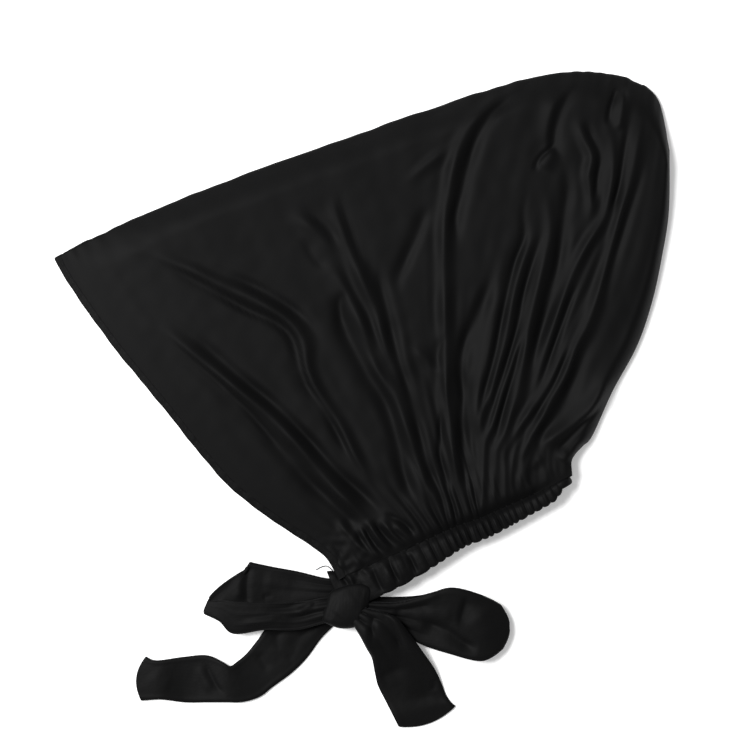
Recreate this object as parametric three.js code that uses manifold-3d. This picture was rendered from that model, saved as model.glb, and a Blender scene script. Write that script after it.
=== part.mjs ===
// Hijab underscarf cap: a jersey bonnet of two like side panels sewn along the crown, with a stitched hem
// round the face opening, a gathered elastic casing along the neck edge, and two ties knotted in a bow.
// It lies flat, the wearer's left side up and the face opening towards -X. Millimetres, +Z up.
import * as THREE from "three";
import { mergeVertices } from "three/addons/utils/BufferGeometryUtils.js";
import Module from "manifold-3d";

const wasm = await Module();
wasm.setup();

// Cap
const capLength = 378; // forehead peak to the back of the crown
const capDepth = 315; // neck corner to the top of the crown
const clothWall = 1.5;
const pieceGap = 0.3; // between two pieces that are sewn together
const loft = 9.5; // how far the upper panel stands off the lower one
const rimReach = 44; // from the crown seam in to where the loft is full
const foldHeight = 6;
const foldWidth = 8;

// Face hem
const hemWidth = 6;
const hemThick = 2.2;
const faceGap = 8; // between the two hems, halfway along the face edge

// Neck casing and its gathers
const casingWidth = 13.6;
const casingPuff = 1.55; // how much wider it is by the knot, where it isn't gathered
const casingTaper = 0.68; // how wide it is at the nape, a share of casingWidth
const casingLead = 11; // how far it runs on past the hood's front corner, to the knot
const casingThick = 4.6;
const neckGap = 5.2; // between the casing's upper and lower run
const pleatCount = 26;
const pleatHeight = 2.6;
const pleatReach = 48; // from the casing to where the pleats have gone
const puckerDepth = 0.7;

// Ties and bow
const tieWidth = 40;
const tieWall = 1.8;
const knotLength = 27;
const knotDepth = 29;
const knotHeight = 14;
const knotLean = 0.1; // how far it leans to +X for each millimetre towards the hood
const leftLoopReach = 87;
const rightLoopReach = 101;
const leftTailReach = 131;
const rightTailReach = 85;
const bowLift = 16; // height that the bow's lifts are shares of
const knotPlace = { along: 0.475, up: -0.05 }; // shares of capLength and capDepth

// How finely the cloth is faceted
const panelRows = 20;
const underRows = 10;
const hemSteps = 28;
const frontPart = 0.25; // share of the columns, from the face, that are twice as close

// Outline of the hood. Places are shares: along of capLength from the peak, up of capDepth from the neck.
const faceEdge = [
  { along: 0.462, up: 0 },
  { along: 0.436, up: 0.05 },
  { along: 0.37, up: 0.104 },
  { along: 0.303, up: 0.163 },
  { along: 0.254, up: 0.222 },
  { along: 0.174, up: 0.341 },
  { along: 0.093, up: 0.459 },
  { along: 0.022, up: 0.577 },
  { along: -0.003, up: 0.63 },
];
const backEdge = [
  { along: 0.842, up: 0.207 },
  { along: 0.878, up: 0.281 },
  { along: 0.911, up: 0.37 },
  { along: 0.951, up: 0.459 },
  { along: 0.976, up: 0.547 },
  { along: 0.992, up: 0.636 },
  { along: 1.003, up: 0.724 },
  { along: 1.004, up: 0.843 },
];
// The lines that the cloth runs along from the gathers to the crown seam, between those two edges.
const clothLines = [
  { foot: [0.549, 0.046], low: [0.428, 0.217], high: [0.248, 0.425], tip: [0.08, 0.684] },
  { foot: [0.615, 0.083], low: [0.52, 0.272], high: [0.385, 0.547], tip: [0.243, 0.766] },
  { foot: [0.657, 0.105], low: [0.595, 0.341], high: [0.526, 0.622], tip: [0.48, 0.87] },
  { foot: [0.693, 0.12], low: [0.648, 0.36], high: [0.648, 0.675], tip: [0.677, 0.951] },
  { foot: [0.731, 0.14], low: [0.702, 0.36], high: [0.759, 0.695], tip: [0.825, 0.996] },
  { foot: [0.767, 0.159], low: [0.759, 0.36], high: [0.854, 0.695], tip: [0.92, 0.99] },
  { foot: [0.803, 0.179], low: [0.818, 0.35], high: [0.926, 0.675], tip: [0.982, 0.948] },
];

// Folds of the upper panel: path in the outline's shares, height of foldHeight, width of foldWidth.
// A negative height is a valley.
const folds = [
  { name: "brow", height: 0.8, width: 1.15, path: [[0.6, 0.1], [0.46, 0.32], [0.385, 0.5], [0.12, 0.65]] },
  { name: "temple", height: 1.15, width: 1.2, path: [[0.57, 0.07], [0.4, 0.252], [0.285, 0.39], [0.165, 0.525]] },
  { name: "temple_hollow", height: -0.5, width: 1.3, path: [[0.545, 0.16], [0.44, 0.3], [0.26, 0.46]] },
  { name: "cheek_hollow", height: -0.4, width: 1.1, path: [[0.5, 0.1], [0.4, 0.2], [0.3, 0.31]] },
  { name: "middle", height: 1, width: 0.65, path: [[0.625, 0.11], [0.585, 0.32], [0.48, 0.59], [0.31, 0.75]] },
  { name: "middle_twin", height: 0.6, width: 0.5, path: [[0.6, 0.27], [0.51, 0.52], [0.45, 0.78]] },
  { name: "crown", height: 1, width: 0.75, path: [[0.642, 0.14], [0.635, 0.44], [0.645, 0.73], [0.78, 0.975]] },
  { name: "crown_hollow", height: -0.55, width: 0.9, path: [[0.665, 0.42], [0.67, 0.72], [0.77, 0.93]] },
  { name: "short", height: -0.45, width: 0.8, path: [[0.56, 0.57], [0.585, 0.65], [0.615, 0.71]] },
  { name: "back_1", height: 0.8, width: 0.55, path: [[0.7, 0.17], [0.71, 0.33], [0.775, 0.62], [0.795, 0.73]] },
  { name: "back_2", height: 0.8, width: 0.5, path: [[0.723, 0.18], [0.745, 0.35], [0.8, 0.62], [0.805, 0.8]] },
  { name: "back_3", height: 0.9, width: 0.6, path: [[0.75, 0.19], [0.775, 0.36], [0.865, 0.66], [0.9, 0.85]] },
  { name: "back_4", height: 0.9, width: 0.65, path: [[0.775, 0.2], [0.82, 0.38], [0.91, 0.68], [0.95, 0.93]] },
  { name: "back_hollow", height: -0.5, width: 1.1, path: [[0.825, 0.3], [0.87, 0.42], [0.93, 0.56]] },
  { name: "nape", height: 0.8, width: 0.7, path: [[0.805, 0.22], [0.84, 0.3], [0.915, 0.42]] },
];

// The bow's bands, a row for each section from the knot outwards. out and up are shares of the band's
// reach, wide of tieWidth, lift and tilt of bowLift; turn is the section's direction in degrees, and
// bulge, a share of the reach, pushes its middle outwards.
const leftLoopRows = [
  { out: 0.06, up: 0.1, wide: 0.38, turn: 90, lift: 0.36 },
  { out: 0.17, up: 0.1, wide: 0.43, turn: 90, lift: 0.4 },
  { out: 0.35, up: 0.114, wide: 0.56, turn: 90, lift: 0.38 },
  { out: 0.53, up: 0.13, wide: 0.63, turn: 92, lift: 0.34 },
  { out: 0.67, up: 0.146, wide: 0.68, turn: 98, lift: 0.28 },
  { out: 0.76, up: 0.138, wide: 0.8, turn: 114, lift: 0.24 },
  { out: 0.83, up: 0.105, wide: 0.9, turn: 128, lift: 0.24 },
  { out: 0.99, up: 0, wide: 0.28, turn: 108, lift: 0.38 },
  { out: 0.885, up: -0.035, wide: 0.34, turn: 102, lift: 0.48 },
  { out: 0.78, up: -0.086, wide: 0.5, turn: 100, lift: 0.54 },
  { out: 0.571, up: -0.075, wide: 0.42, turn: 93, lift: 0.54 },
  { out: 0.35, up: -0.071, wide: 0.43, turn: 90, lift: 0.52 },
  { out: 0.17, up: -0.032, wide: 0.4, turn: 90, lift: 0.54 },
  { out: 0.06, up: -0.02, wide: 0.36, turn: 90, lift: 0.54 },
];
const rightLoopRows = [
  { out: 0.1, up: -0.02, wide: 0.22, turn: 90, lift: 0.46 },
  { out: 0.3, up: -0.06, wide: 0.42, turn: 90, lift: 0.46, tilt: 0.22 },
  { out: 0.455, up: -0.09, wide: 0.74, turn: 90, lift: 0.5, tilt: 0.3 },
  { out: 0.63, up: -0.09, wide: 1.03, turn: 90, lift: 0.6, tilt: 0.1 },
  { out: 0.81, up: -0.13, wide: 1.05, turn: 94, lift: 0.54, bulge: 0.03 },
  { out: 0.93, up: -0.13, wide: 0.74, turn: 92, lift: 0.33, bulge: 0.065 },
  { out: 0.81, up: -0.127, wide: 0.98, turn: 92, lift: 0.13, bulge: 0.03 },
  { out: 0.61, up: -0.085, wide: 0.9, turn: 90, lift: 0.12 },
  { out: 0.45, up: -0.05, wide: 0.55, turn: 90, lift: 0.13 },
  { out: 0.29, up: -0.015, wide: 0.32, turn: 90, lift: 0.2 },
  { out: 0.1, up: 0.01, wide: 0.22, turn: 90, lift: 0.34 },
];
const leftTailRows = [
  { out: 0.04, up: -0.02, wide: 0.3, turn: 38, lift: 0 },
  { out: 0.18, up: -0.1, wide: 0.56, turn: 36, lift: 0 },
  { out: 0.277, up: -0.177, wide: 0.77, turn: 36, lift: 0 },
  { out: 0.336, up: -0.242, wide: 0.74, turn: 41, lift: 0 },
  { out: 0.408, up: -0.308, wide: 0.66, turn: 51, lift: 0.02 },
  { out: 0.464, up: -0.352, wide: 0.65, turn: 57, lift: 0.07 },
  { out: 0.522, up: -0.374, wide: 0.59, turn: 71, lift: 0.13 },
  { out: 0.575, up: -0.364, wide: 0.63, turn: 84, lift: 0.14 },
  { out: 0.66, up: -0.35, wide: 0.73, turn: 89, lift: 0.05 },
  { out: 0.767, up: -0.355, wide: 0.71, turn: 88, lift: 0 },
  { out: 0.89, up: -0.355, wide: 0.61, turn: 84, lift: 0.08 },
  { out: 0.96, up: -0.35, wide: 0.69, turn: 96, lift: 0, bulge: 0.035 },
];
const rightTailRows = [
  { out: 0.08, up: -0.05, wide: 0.3, turn: 30, lift: 0.7 },
  { out: 0.22, up: -0.14, wide: 0.6, turn: 28, lift: 0.8 },
  { out: 0.296, up: -0.245, wide: 0.69, turn: 18, lift: 0.68 },
  { out: 0.365, up: -0.35, wide: 0.78, turn: 8, lift: 0.46 },
  { out: 0.422, up: -0.476, wide: 0.92, turn: 5, lift: 0.2 },
  { out: 0.46, up: -0.58, wide: 0.98, turn: 3, lift: 0.05 },
  { out: 0.505, up: -0.68, wide: 0.94, turn: 6, lift: 0 },
  { out: 0.55, up: -0.76, wide: 0.92, turn: 13, lift: 0.04 },
  { out: 0.587, up: -0.813, wide: 0.94, turn: 20, lift: 0, bulge: 0.055 },
];
// The knot's rings from left to right: at of knotLength, deep of knotDepth, tall of knotHeight.
const knotRows = [
  { at: -0.5, deep: 0.6, tall: 0.5 },
  { at: -0.42, deep: 0.86, tall: 0.82 },
  { at: -0.22, deep: 0.95, tall: 0.98 },
  { at: 0.02, deep: 1, tall: 1 },
  { at: 0.26, deep: 0.96, tall: 0.97 },
  { at: 0.43, deep: 0.84, tall: 0.8 },
  { at: 0.5, deep: 0.58, tall: 0.5 },
];

// From 0 to 1 over a stretch, levelling out at both ends.
const ease = (share) => THREE.MathUtils.smoothstep(share, 0, 1);
// From 0, rising steeply at first, to 1.
const swell = (share) => Math.sin((Math.min(Math.max(share, 0), 1) * Math.PI) / 2);
const mix = THREE.MathUtils.lerp;

const place = (along, up) => new THREE.Vector2(along * capLength, up * capDepth);
const curveOf = (pairs) => new THREE.SplineCurve(pairs.map(([along, up]) => place(along, up)));

const faceCurve = curveOf(faceEdge.map(({ along, up }) => [along, up]));
const backCurve = curveOf(backEdge.map(({ along, up }) => [along, up]));
const lineCurves = clothLines.map(({ foot, low, high, tip }) => curveOf([foot, low, high, tip]));
const foldCurves = folds.map(({ path }) => curveOf(path).getSpacedPoints(24));

// The face edge moved in by a distance, along the cloth's own plane.
function faceInset(share, inset) {
  const tangent = faceCurve.getTangentAt(share);
  return faceCurve.getPointAt(share).add(new THREE.Vector2(tangent.y, -tangent.x).multiplyScalar(inset));
}

// The line across the cloth at a share of the way from the gathers to the crown seam: from the hem's inner
// edge, over the cloth lines, to the back edge.
function rowCurve(share) {
  return new THREE.SplineCurve([
    faceInset(share, hemWidth + pieceGap),
    ...lineCurves.map((curve) => curve.getPointAt(share)),
    backCurve.getPointAt(share),
  ]);
}
const neckCurve = rowCurve(0);

// Nearest place on a fold to a point of the plan: how far off, and how far along as a share.
function nearest(points, x, y) {
  let best = { off: Infinity, along: 0 };
  for (let i = 1; i < points.length; i++) {
    const [a, b] = [points[i - 1], points[i]];
    const run = b.clone().sub(a);
    const t = THREE.MathUtils.clamp(((x - a.x) * run.x + (y - a.y) * run.y) / run.lengthSq(), 0, 1);
    const off = Math.hypot(x - a.x - t * run.x, y - a.y - t * run.y);
    if (off < best.off) best = { off, along: (i - 1 + t) / (points.length - 1) };
  }
  return best;
}

// What the folds add to the cloth's height at a point of the plan.
function foldRise(x, y) {
  return folds.reduce((sum, fold, i) => {
    const { off, along } = nearest(foldCurves[i], x, y);
    const across = off / (fold.width * foldWidth);
    const fade = ease(along / 0.15) * ease((1 - along) / 0.35);
    return sum + fold.height * foldHeight * fade * Math.exp(-across * across);
  }, 0);
}

// Round pleats with sharp valleys between them, from 0 to 1, counted along the neck edge.
const pleat = (column) => Math.abs(Math.sin(Math.PI * pleatCount * column));

const casingMiddle = casingThick / 2;
const casingStep = casingThick + neckGap;
const seamTop = 2 * clothWall + pieceGap;

// Height of the upper hem's middle along the face edge, from the neck to the peak.
function faceHeight(share) {
  const peak = hemThick * 1.5 + pieceGap;
  const corner = casingMiddle + casingStep;
  const middle = hemThick * 1.5 + faceGap;
  return share < 0.5
    ? mix(corner, middle, ease(share / 0.35))
    : mix(peak, middle, swell((1 - share) / 0.5));
}

// Outer surface of the upper panel. column runs from the face edge to the back, row from neck to crown.
function upperHeight(column, row, { x, y }) {
  const rim = swell(((1 - row) * capDepth) / rimReach) * swell(((1 - column) * capDepth) / rimReach);
  const crown = seamTop + loft * rim;
  const face = faceHeight(row) + clothWall / 2;
  const neck = casingMiddle + casingStep + clothWall / 2;
  const fromNeck = row * capDepth;
  const inner = ease(column / 0.16) * ease(row / 0.14);
  const fullness = ease(fromNeck / 8) * ease(column / 0.06) * rim;
  const open = mix(mix(face, crown, ease(column / 0.22)), neck, 1 - ease(row / 0.12));
  const pleats = (pleat(column) - 0.5) * pleatHeight * ease(column / 0.1) * ease(1 - fromNeck / pleatReach);
  return open + pleats * mix(0.35, 1, fullness) + foldRise(x, y) * Math.min(inner, swell(rim));
}

// Underside of the lower panel: flat on the surface, with wide low pleats that lift it near the casing.
function lowerHeight(column, row) {
  const fade = ease(1 - (row * capDepth) / pleatReach) * ease(column / 0.1) * ease((1 - column) / 0.1);
  return pleat(column / 2) * 0.5 * pleatHeight * fade;
}

// A closed sheet from two like grids of points, rows of columns each, upper and lower.
function sheetGeometry(upper, lower) {
  const rows = upper.length;
  const columns = upper[0].length;
  const points = [...upper.flat(), ...lower.flat()];
  const at = (side, i, j) => side * rows * columns + i * columns + j;
  const faces = [];
  const quad = (a, b, c, d) => faces.push(a, b, c, a, c, d);
  for (let i = 0; i < rows - 1; i++) {
    for (let j = 0; j < columns - 1; j++) {
      quad(at(0, i, j), at(0, i, j + 1), at(0, i + 1, j + 1), at(0, i + 1, j));
      quad(at(1, i, j), at(1, i + 1, j), at(1, i + 1, j + 1), at(1, i, j + 1));
    }
    quad(at(0, i, 0), at(0, i + 1, 0), at(1, i + 1, 0), at(1, i, 0));
    quad(at(0, i + 1, columns - 1), at(0, i, columns - 1), at(1, i, columns - 1), at(1, i + 1, columns - 1));
  }
  for (let j = 0; j < columns - 1; j++) {
    quad(at(0, 0, j + 1), at(0, 0, j), at(1, 0, j), at(1, 0, j + 1));
    quad(at(0, rows - 1, j), at(0, rows - 1, j + 1), at(1, rows - 1, j + 1), at(1, rows - 1, j));
  }
  return geometryOf(points, faces);
}

// A closed tube from rings of points, each ring the same way round its path.
function tubeGeometry(rings) {
  const sides = rings[0].length;
  const points = rings.flat();
  const faces = [];
  rings.slice(1).forEach((_, i) => {
    for (let k = 0; k < sides; k++) {
      const [a, b] = [i * sides + k, i * sides + ((k + 1) % sides)];
      faces.push(a, b, b + sides, a, b + sides, a + sides);
    }
  });
  const last = (rings.length - 1) * sides;
  for (let k = 1; k < sides - 1; k++) faces.push(0, k + 1, k, last, last + k, last + k + 1);
  return geometryOf(points, faces);
}

function geometryOf(points, faces) {
  const geometry = new THREE.BufferGeometry().setFromPoints(points);
  geometry.setIndex(faces);
  return geometry;
}

function solidOf(geometry) {
  const merged = mergeVertices(geometry, 1e-4);
  const mesh = new wasm.Mesh({
    numProp: 3,
    vertProperties: merged.attributes.position.array,
    triVerts: new Uint32Array(merged.index.array),
  });
  return new wasm.Manifold(mesh);
}

// The geometry without what the cutters take.
function trimmed(geometry, ...cutters) {
  const mesh = cutters.reduce((solid, cutter) => solid.subtract(solidOf(cutter)), solidOf(geometry)).getMesh();
  const position = new THREE.BufferAttribute(new Float32Array(mesh.vertProperties), 3);
  return new THREE.BufferGeometry()
    .setAttribute("position", position)
    .setIndex(new THREE.BufferAttribute(new Uint32Array(mesh.triVerts), 1));
}

// A panel between two heights, on a grid of the hood's plan.
function panelGeometry(columns, rows, topOf, bottomOf) {
  const grid = (heightOf) =>
    rows.map((row) => {
      const line = rowCurve(row);
      return columns.map((column) => {
        const p = line.getPoint(column);
        return new THREE.Vector3(p.x, p.y, heightOf(column, row, p));
      });
    });
  return sheetGeometry(grid(topOf), grid(bottomOf));
}

const evenShares = (count) => Array.from({ length: count + 1 }, (_, i) => i / count);
// Rows of the panels, closer together near the gathers and near the crown seam.
const rowShares = (count) => evenShares(count).map((share) => share - 0.09 * Math.sin(2 * Math.PI * share));
// Columns in the valleys and on the crests of the pleats, and halfway between them in the front part.
const crestShares = evenShares(pleatCount * 2);
const upperColumns = crestShares.flatMap((share, i) =>
  share < frontPart ? [share, (share + crestShares[i + 1]) / 2] : [share],
);

function upperPanel() {
  return panelGeometry(upperColumns, rowShares(panelRows), upperHeight, (column, row, p) =>
    Math.max(upperHeight(column, row, p) - clothWall, clothWall + pieceGap),
  );
}

function lowerPanel() {
  return panelGeometry(
    evenShares(pleatCount),
    rowShares(underRows),
    (column, row) => lowerHeight(column, row) + clothWall,
    lowerHeight,
  );
}

// A ring of a flat band: an oval of the given width and thickness round its middle.
function ovalRing(middle, across, through, width, thick, sides) {
  return Array.from({ length: sides }, (_, k) => {
    const angle = (2 * Math.PI * (k + 0.5)) / sides;
    return middle
      .clone()
      .addScaledVector(across, (Math.sign(Math.cos(angle)) * Math.abs(Math.cos(angle)) ** 0.7 * width) / 2)
      .addScaledVector(through, (Math.sign(Math.sin(angle)) * Math.abs(Math.sin(angle)) ** 0.7 * thick) / 2);
  });
}

// A band doubled back on itself: out along the upper height, round a half turn and back along the lower.
// planAt gives the plan point and the direction of the band's width at a share of the way out.
function doubledBand(shares, planAt, upperAt, lowerAt, widthAt, thickAt, sides) {
  const up = new THREE.Vector3(0, 0, 1);
  const run = (share, height, through) => {
    const { point, across } = planAt(share);
    const middle = new THREE.Vector3(point.x, point.y, height);
    return ovalRing(middle, across, through, widthAt(share), thickAt(share), sides);
  };
  const out = shares.map((share) => run(share, upperAt(share), up));
  const back = [...shares].reverse().map((share) => run(share, lowerAt(share), up.clone().negate()));
  const tip = shares.at(-1);
  const { point, across } = planAt(tip);
  const ahead = new THREE.Vector3().crossVectors(up, across).negate();
  const radius = (upperAt(tip) - lowerAt(tip)) / 2;
  const turn = [1, 2, 3, 4, 5].map((step) => {
    const angle = (Math.PI * step) / 6;
    const through = up.clone().multiplyScalar(Math.cos(angle)).addScaledVector(ahead, Math.sin(angle));
    const middle = new THREE.Vector3(point.x, point.y, (upperAt(tip) + lowerAt(tip)) / 2);
    return ovalRing(middle.addScaledVector(through, radius), across, through, widthAt(tip), thickAt(tip), sides);
  });
  return tubeGeometry([...out, ...turn, ...back].map((ring) => ring.reverse()));
}

// The turned hem: over the upper panel's face edge, round the peak and back along the lower panel's. A margin
// makes it larger all round, as a cutter for the pieces that it is sewn to.
function faceHem(margin) {
  const tip = 1 - hemThick / faceCurve.getLength();
  const planAt = (share) => {
    const tangent = faceCurve.getTangentAt(share * tip);
    const across = new THREE.Vector3(tangent.y, -tangent.x, 0);
    return { point: faceInset(share * tip, hemWidth / 2), across };
  };
  const shares = evenShares(hemSteps);
  const wide = () => hemWidth + 2 * margin;
  return doubledBand(shares, planAt, faceHeight, () => hemThick / 2, wide, () => hemThick + 2 * margin, 8);
}

// The gathered casing: along the upper panel's neck edge, round the nape and back along the lower panel's. It
// ends at the last crest or valley that leaves its half turn inside the hood.
function neckCasing(margin) {
  const length = neckCurve.getLength();
  const lead = casingLead / length;
  const gathered = crestShares.filter((share) => (1 - share) * length > casingStep / 2);
  const shares = [-lead, -lead / 2, ...gathered];
  const widthAt = (share) => {
    const puff = mix(casingPuff, 1, ease(share / 0.42));
    const taper = mix(1, casingTaper, ease((share - 0.4) / 0.6));
    return casingWidth * puff * taper * mix(0.4, 1, swell((share + lead) / lead));
  };
  const planAt = (share) => {
    const inside = Math.max(share, 0);
    const tangent = neckCurve.getTangent(inside);
    const across = new THREE.Vector3(tangent.y, -tangent.x, 0);
    const point = neckCurve.getPoint(inside).addScaledVector(tangent, (share - inside) * length);
    return { point: point.addScaledVector(across, widthAt(share) / 2), across };
  };
  const thickAt = (share) => casingThick - 2 * puckerDepth * (1 - pleat(share)) * ease(share / 0.2);
  return doubledBand(
    shares,
    planAt,
    () => casingMiddle + casingStep,
    () => casingMiddle,
    (share) => widthAt(share) + 2 * margin,
    (share) => thickAt(share) + 2 * margin,
    6,
  );
}

// Sections between a band's rows, each with the named columns worked out along a smooth curve.
function bandSections(rows, count) {
  const column = (name) => {
    const curve = new THREE.SplineCurve(rows.map((row, i) => new THREE.Vector2(i, row[name] ?? 0)));
    return (share) => curve.getPoint(share).y;
  };
  const read = ["out", "up", "wide", "turn", "lift", "tilt", "bulge"].map((name) => [name, column(name)]);
  return evenShares(count).map((share) => Object.fromEntries(read.map(([name, at]) => [name, at(share)])));
}

// A tie's band as a closed sheet in the bow's frame. side is -1 for a band that goes to -X.
function bandGeometry(rows, reach, side, count) {
  const across = [-1, -0.6, -0.2, 0.2, 0.6, 1];
  const middles = bandSections(rows, count).map((section) =>
    across.map((q) => {
      const angle = THREE.MathUtils.degToRad(section.turn);
      const half = (q * section.wide * tieWidth) / 2;
      const push = section.bulge * reach * (1 - q * q);
      return new THREE.Vector3(
        side * (section.out * reach + half * Math.cos(angle) + push * Math.sin(angle)),
        section.up * reach + half * Math.sin(angle) - push * Math.cos(angle),
        tieWall / 2 + (section.lift + section.tilt * q * 0.5) * bowLift,
      );
    }),
  );
  const normals = middles.map((line, i) =>
    line.map((_, j) => {
      const alongBand = middles[Math.min(i + 1, middles.length - 1)][j].clone().sub(middles[Math.max(i - 1, 0)][j]);
      const acrossBand = line[Math.min(j + 1, line.length - 1)].clone().sub(line[Math.max(j - 1, 0)]);
      return alongBand.cross(acrossBand).normalize();
    }),
  );
  const face = (offset) =>
    middles.map((line, i) =>
      line.map((p, j) => {
        const moved = p.clone().addScaledVector(normals[i][j], offset);
        return moved.setZ(Math.max(moved.z, 0));
      }),
    );
  return sheetGeometry(face(-tieWall / 2), face(tieWall / 2));
}

// The knot, its rings round the X axis, grown by a margin where it is a cutter.
function knotGeometry(margin) {
  const middle = tieWall + pieceGap + knotHeight / 2;
  const sides = 14;
  const rings = knotRows.map(({ at, deep, tall }) => {
    const x = at * (knotLength + 2 * margin);
    return Array.from({ length: sides }, (_, k) => {
      const angle = (2 * Math.PI * k) / sides;
      const y = Math.cos(angle) * ((deep * knotDepth) / 2 + margin);
      const z = middle + Math.sin(angle) * ((tall * knotHeight) / 2 + margin);
      return new THREE.Vector3(x + y * knotLean, y, z);
    });
  });
  return tubeGeometry(rings);
}

const jersey = { color: 0x1b1b1b, roughness: 0.85, metalness: 0 };

function piece(name, geometry) {
  const shown = geometry.clone();
  shown.computeVertexNormals();
  const mesh = new THREE.Mesh(shown, new THREE.MeshStandardMaterial(jersey));
  mesh.name = name;
  return mesh;
}

const knotAt = place(knotPlace.along, knotPlace.up);
const knotCutter = knotGeometry(pieceGap);
const knotInHood = knotCutter.clone().translate(knotAt.x, knotAt.y, 0);
const cutters = [knotInHood, faceHem(pieceGap), neckCasing(pieceGap)];

const hood = new THREE.Group();
hood.add(
  piece("left_side_panel", trimmed(upperPanel(), ...cutters)),
  piece("right_side_panel", trimmed(lowerPanel(), ...cutters)),
  piece("face_hem", trimmed(faceHem(0), knotInHood, neckCasing(pieceGap))),
  piece("neck_casing", trimmed(neckCasing(0), knotInHood)),
);

const bow = new THREE.Group();
bow.position.set(knotAt.x, knotAt.y, 0);
bow.add(
  piece("tie_knot", knotGeometry(0)),
  piece("bow_loop_left", trimmed(bandGeometry(leftLoopRows, leftLoopReach, -1, 27), knotCutter)),
  piece("bow_loop_right", trimmed(bandGeometry(rightLoopRows, rightLoopReach, 1, 28), knotCutter)),
  piece("tie_tail_left", trimmed(bandGeometry(leftTailRows, leftTailReach, -1, 22), knotCutter)),
  piece("tie_tail_right", trimmed(bandGeometry(rightTailRows, rightTailReach, 1, 14), knotCutter)),
);

// The origin is the middle of the cap's footprint, on the surface it lies on.
const cap = new THREE.Group();
cap.add(hood, bow);
const bounds = new THREE.Box3().setFromObject(cap, true);
const middle = bounds.getCenter(new THREE.Vector3());
cap.position.set(-middle.x, -middle.y, -bounds.min.z);

export default cap;
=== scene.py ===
import math
import bpy
import numpy as np
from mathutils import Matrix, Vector


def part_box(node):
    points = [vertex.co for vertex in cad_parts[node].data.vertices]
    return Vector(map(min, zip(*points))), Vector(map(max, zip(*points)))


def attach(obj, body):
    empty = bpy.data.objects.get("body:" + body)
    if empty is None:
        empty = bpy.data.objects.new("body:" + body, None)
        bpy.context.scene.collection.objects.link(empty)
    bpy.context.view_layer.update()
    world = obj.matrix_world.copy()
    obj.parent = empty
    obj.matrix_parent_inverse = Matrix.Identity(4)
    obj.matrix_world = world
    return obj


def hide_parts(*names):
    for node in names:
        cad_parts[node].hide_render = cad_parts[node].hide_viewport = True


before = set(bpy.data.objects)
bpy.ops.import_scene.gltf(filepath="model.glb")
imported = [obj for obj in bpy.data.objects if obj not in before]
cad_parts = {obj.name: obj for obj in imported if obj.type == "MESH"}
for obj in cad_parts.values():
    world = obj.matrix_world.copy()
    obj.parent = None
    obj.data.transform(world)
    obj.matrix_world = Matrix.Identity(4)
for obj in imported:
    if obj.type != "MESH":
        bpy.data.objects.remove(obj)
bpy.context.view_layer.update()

# Underscarf cap lying flat: the wearer's left side up, face opening to the left, ties in a bow below.
# Lengths are metres. The outline and the folds are placed in the photo's pixels and brought into the frame.
# In the dictionaries a ramp is where it starts and how far it goes, with the values before and after it where
# there are four numbers. Waves are a seed, how many they are, their longest and their shortest length.

mm = 0.001
nudge = 1e-3  # share of a line before and after a point, to find its direction

# Scale and place of the photo's pixels. Shares of the cap's length and depth are counted from (57, 579).
photo = {"metresPerPixel": 0.62 * mm, "peakX": 57, "neckY": 579, "side": 750}
cap = {"length": 378 * mm, "depth": 315 * mm, "knotAlong": 0.475, "knotUp": -0.05}

knotLow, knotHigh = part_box("tie_knot")
knotPoint = np.array([(knotLow[0] + knotHigh[0]) / 2, (knotLow[1] + knotHigh[1]) / 2])
origin = knotPoint - np.array([cap["knotAlong"] * cap["length"], cap["knotUp"] * cap["depth"]])


def fromShares(pairs):
    # origin + share of the length across, share of the depth up
    return origin + np.asarray(pairs, float) * [cap["length"], cap["depth"]]


def fromPhoto(pairs):
    # origin + pixels from the peak across, pixels from the neck up, times the scale
    pairs = np.asarray(pairs, float)
    across = (pairs[..., 0] - photo["peakX"]) * photo["metresPerPixel"]
    up = (photo["neckY"] - pairs[..., 1]) * photo["metresPerPixel"]
    return origin + np.stack([across, up], axis=-1)


def ease(share):
    # 3 s^2 - 2 s^3, held at 0 and 1
    s = np.clip(share, 0, 1)
    return s * s * (3 - 2 * s)


def swell(share):
    # a quarter of a sine wave: steep at first, level at 1
    return np.sin(np.clip(share, 0, 1) * np.pi / 2)


def mix(a, b, share):
    # a + (b - a) s
    return a + (b - a) * share


def ramp(value, start, length, low=0, high=1):
    # eased from low to high over the length that begins at start
    return mix(low, high, ease((value - start) / length))


def bell(share):
    # e to the power of minus s^2
    return np.exp(-(share**2))


def squared(wave, power):
    # a sine or cosine to a power below 1, its sign kept, which squares a circle off
    return np.sign(wave) * np.abs(wave) ** power


def circle(count, start=0):
    # equal angles all the way round
    return 2 * np.pi * (np.arange(count) + start) / count


def unit(run):
    # each direction divided by its length
    return run / np.linalg.norm(run, axis=-1, keepdims=True)


def rightOf(run):
    # a quarter turn to the right: (x, y) becomes (y, -x)
    return np.stack([run[..., 1], -run[..., 0]], axis=-1)


def curveAt(points, share):
    # uniform Catmull-Rom curve: a cubic between two rows, with half the chord of their neighbours as slopes
    points = np.asarray(points, float)
    last = len(points) - 1
    place = np.clip(np.asarray(share, float) * last, 0, last)
    i = np.minimum(place.astype(int), last - 1)
    w = (place - i).reshape(place.shape + (1,) * (points.ndim - 1))
    before, a = points[np.maximum(i - 1, 0)], points[i]
    b, after = points[i + 1], points[np.minimum(i + 2, last)]
    slopeA, slopeB = (b - before) / 2, (after - a) / 2
    cubic = 2 * a - 2 * b + slopeA + slopeB
    square = -3 * a + 3 * b - 2 * slopeA - slopeB
    return cubic * w**3 + square * w**2 + slopeA * w + a


def travel(line):
    # distance travelled along a row of points
    return np.concatenate([[0], np.cumsum(np.linalg.norm(np.diff(line, axis=0), axis=1))])


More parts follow.
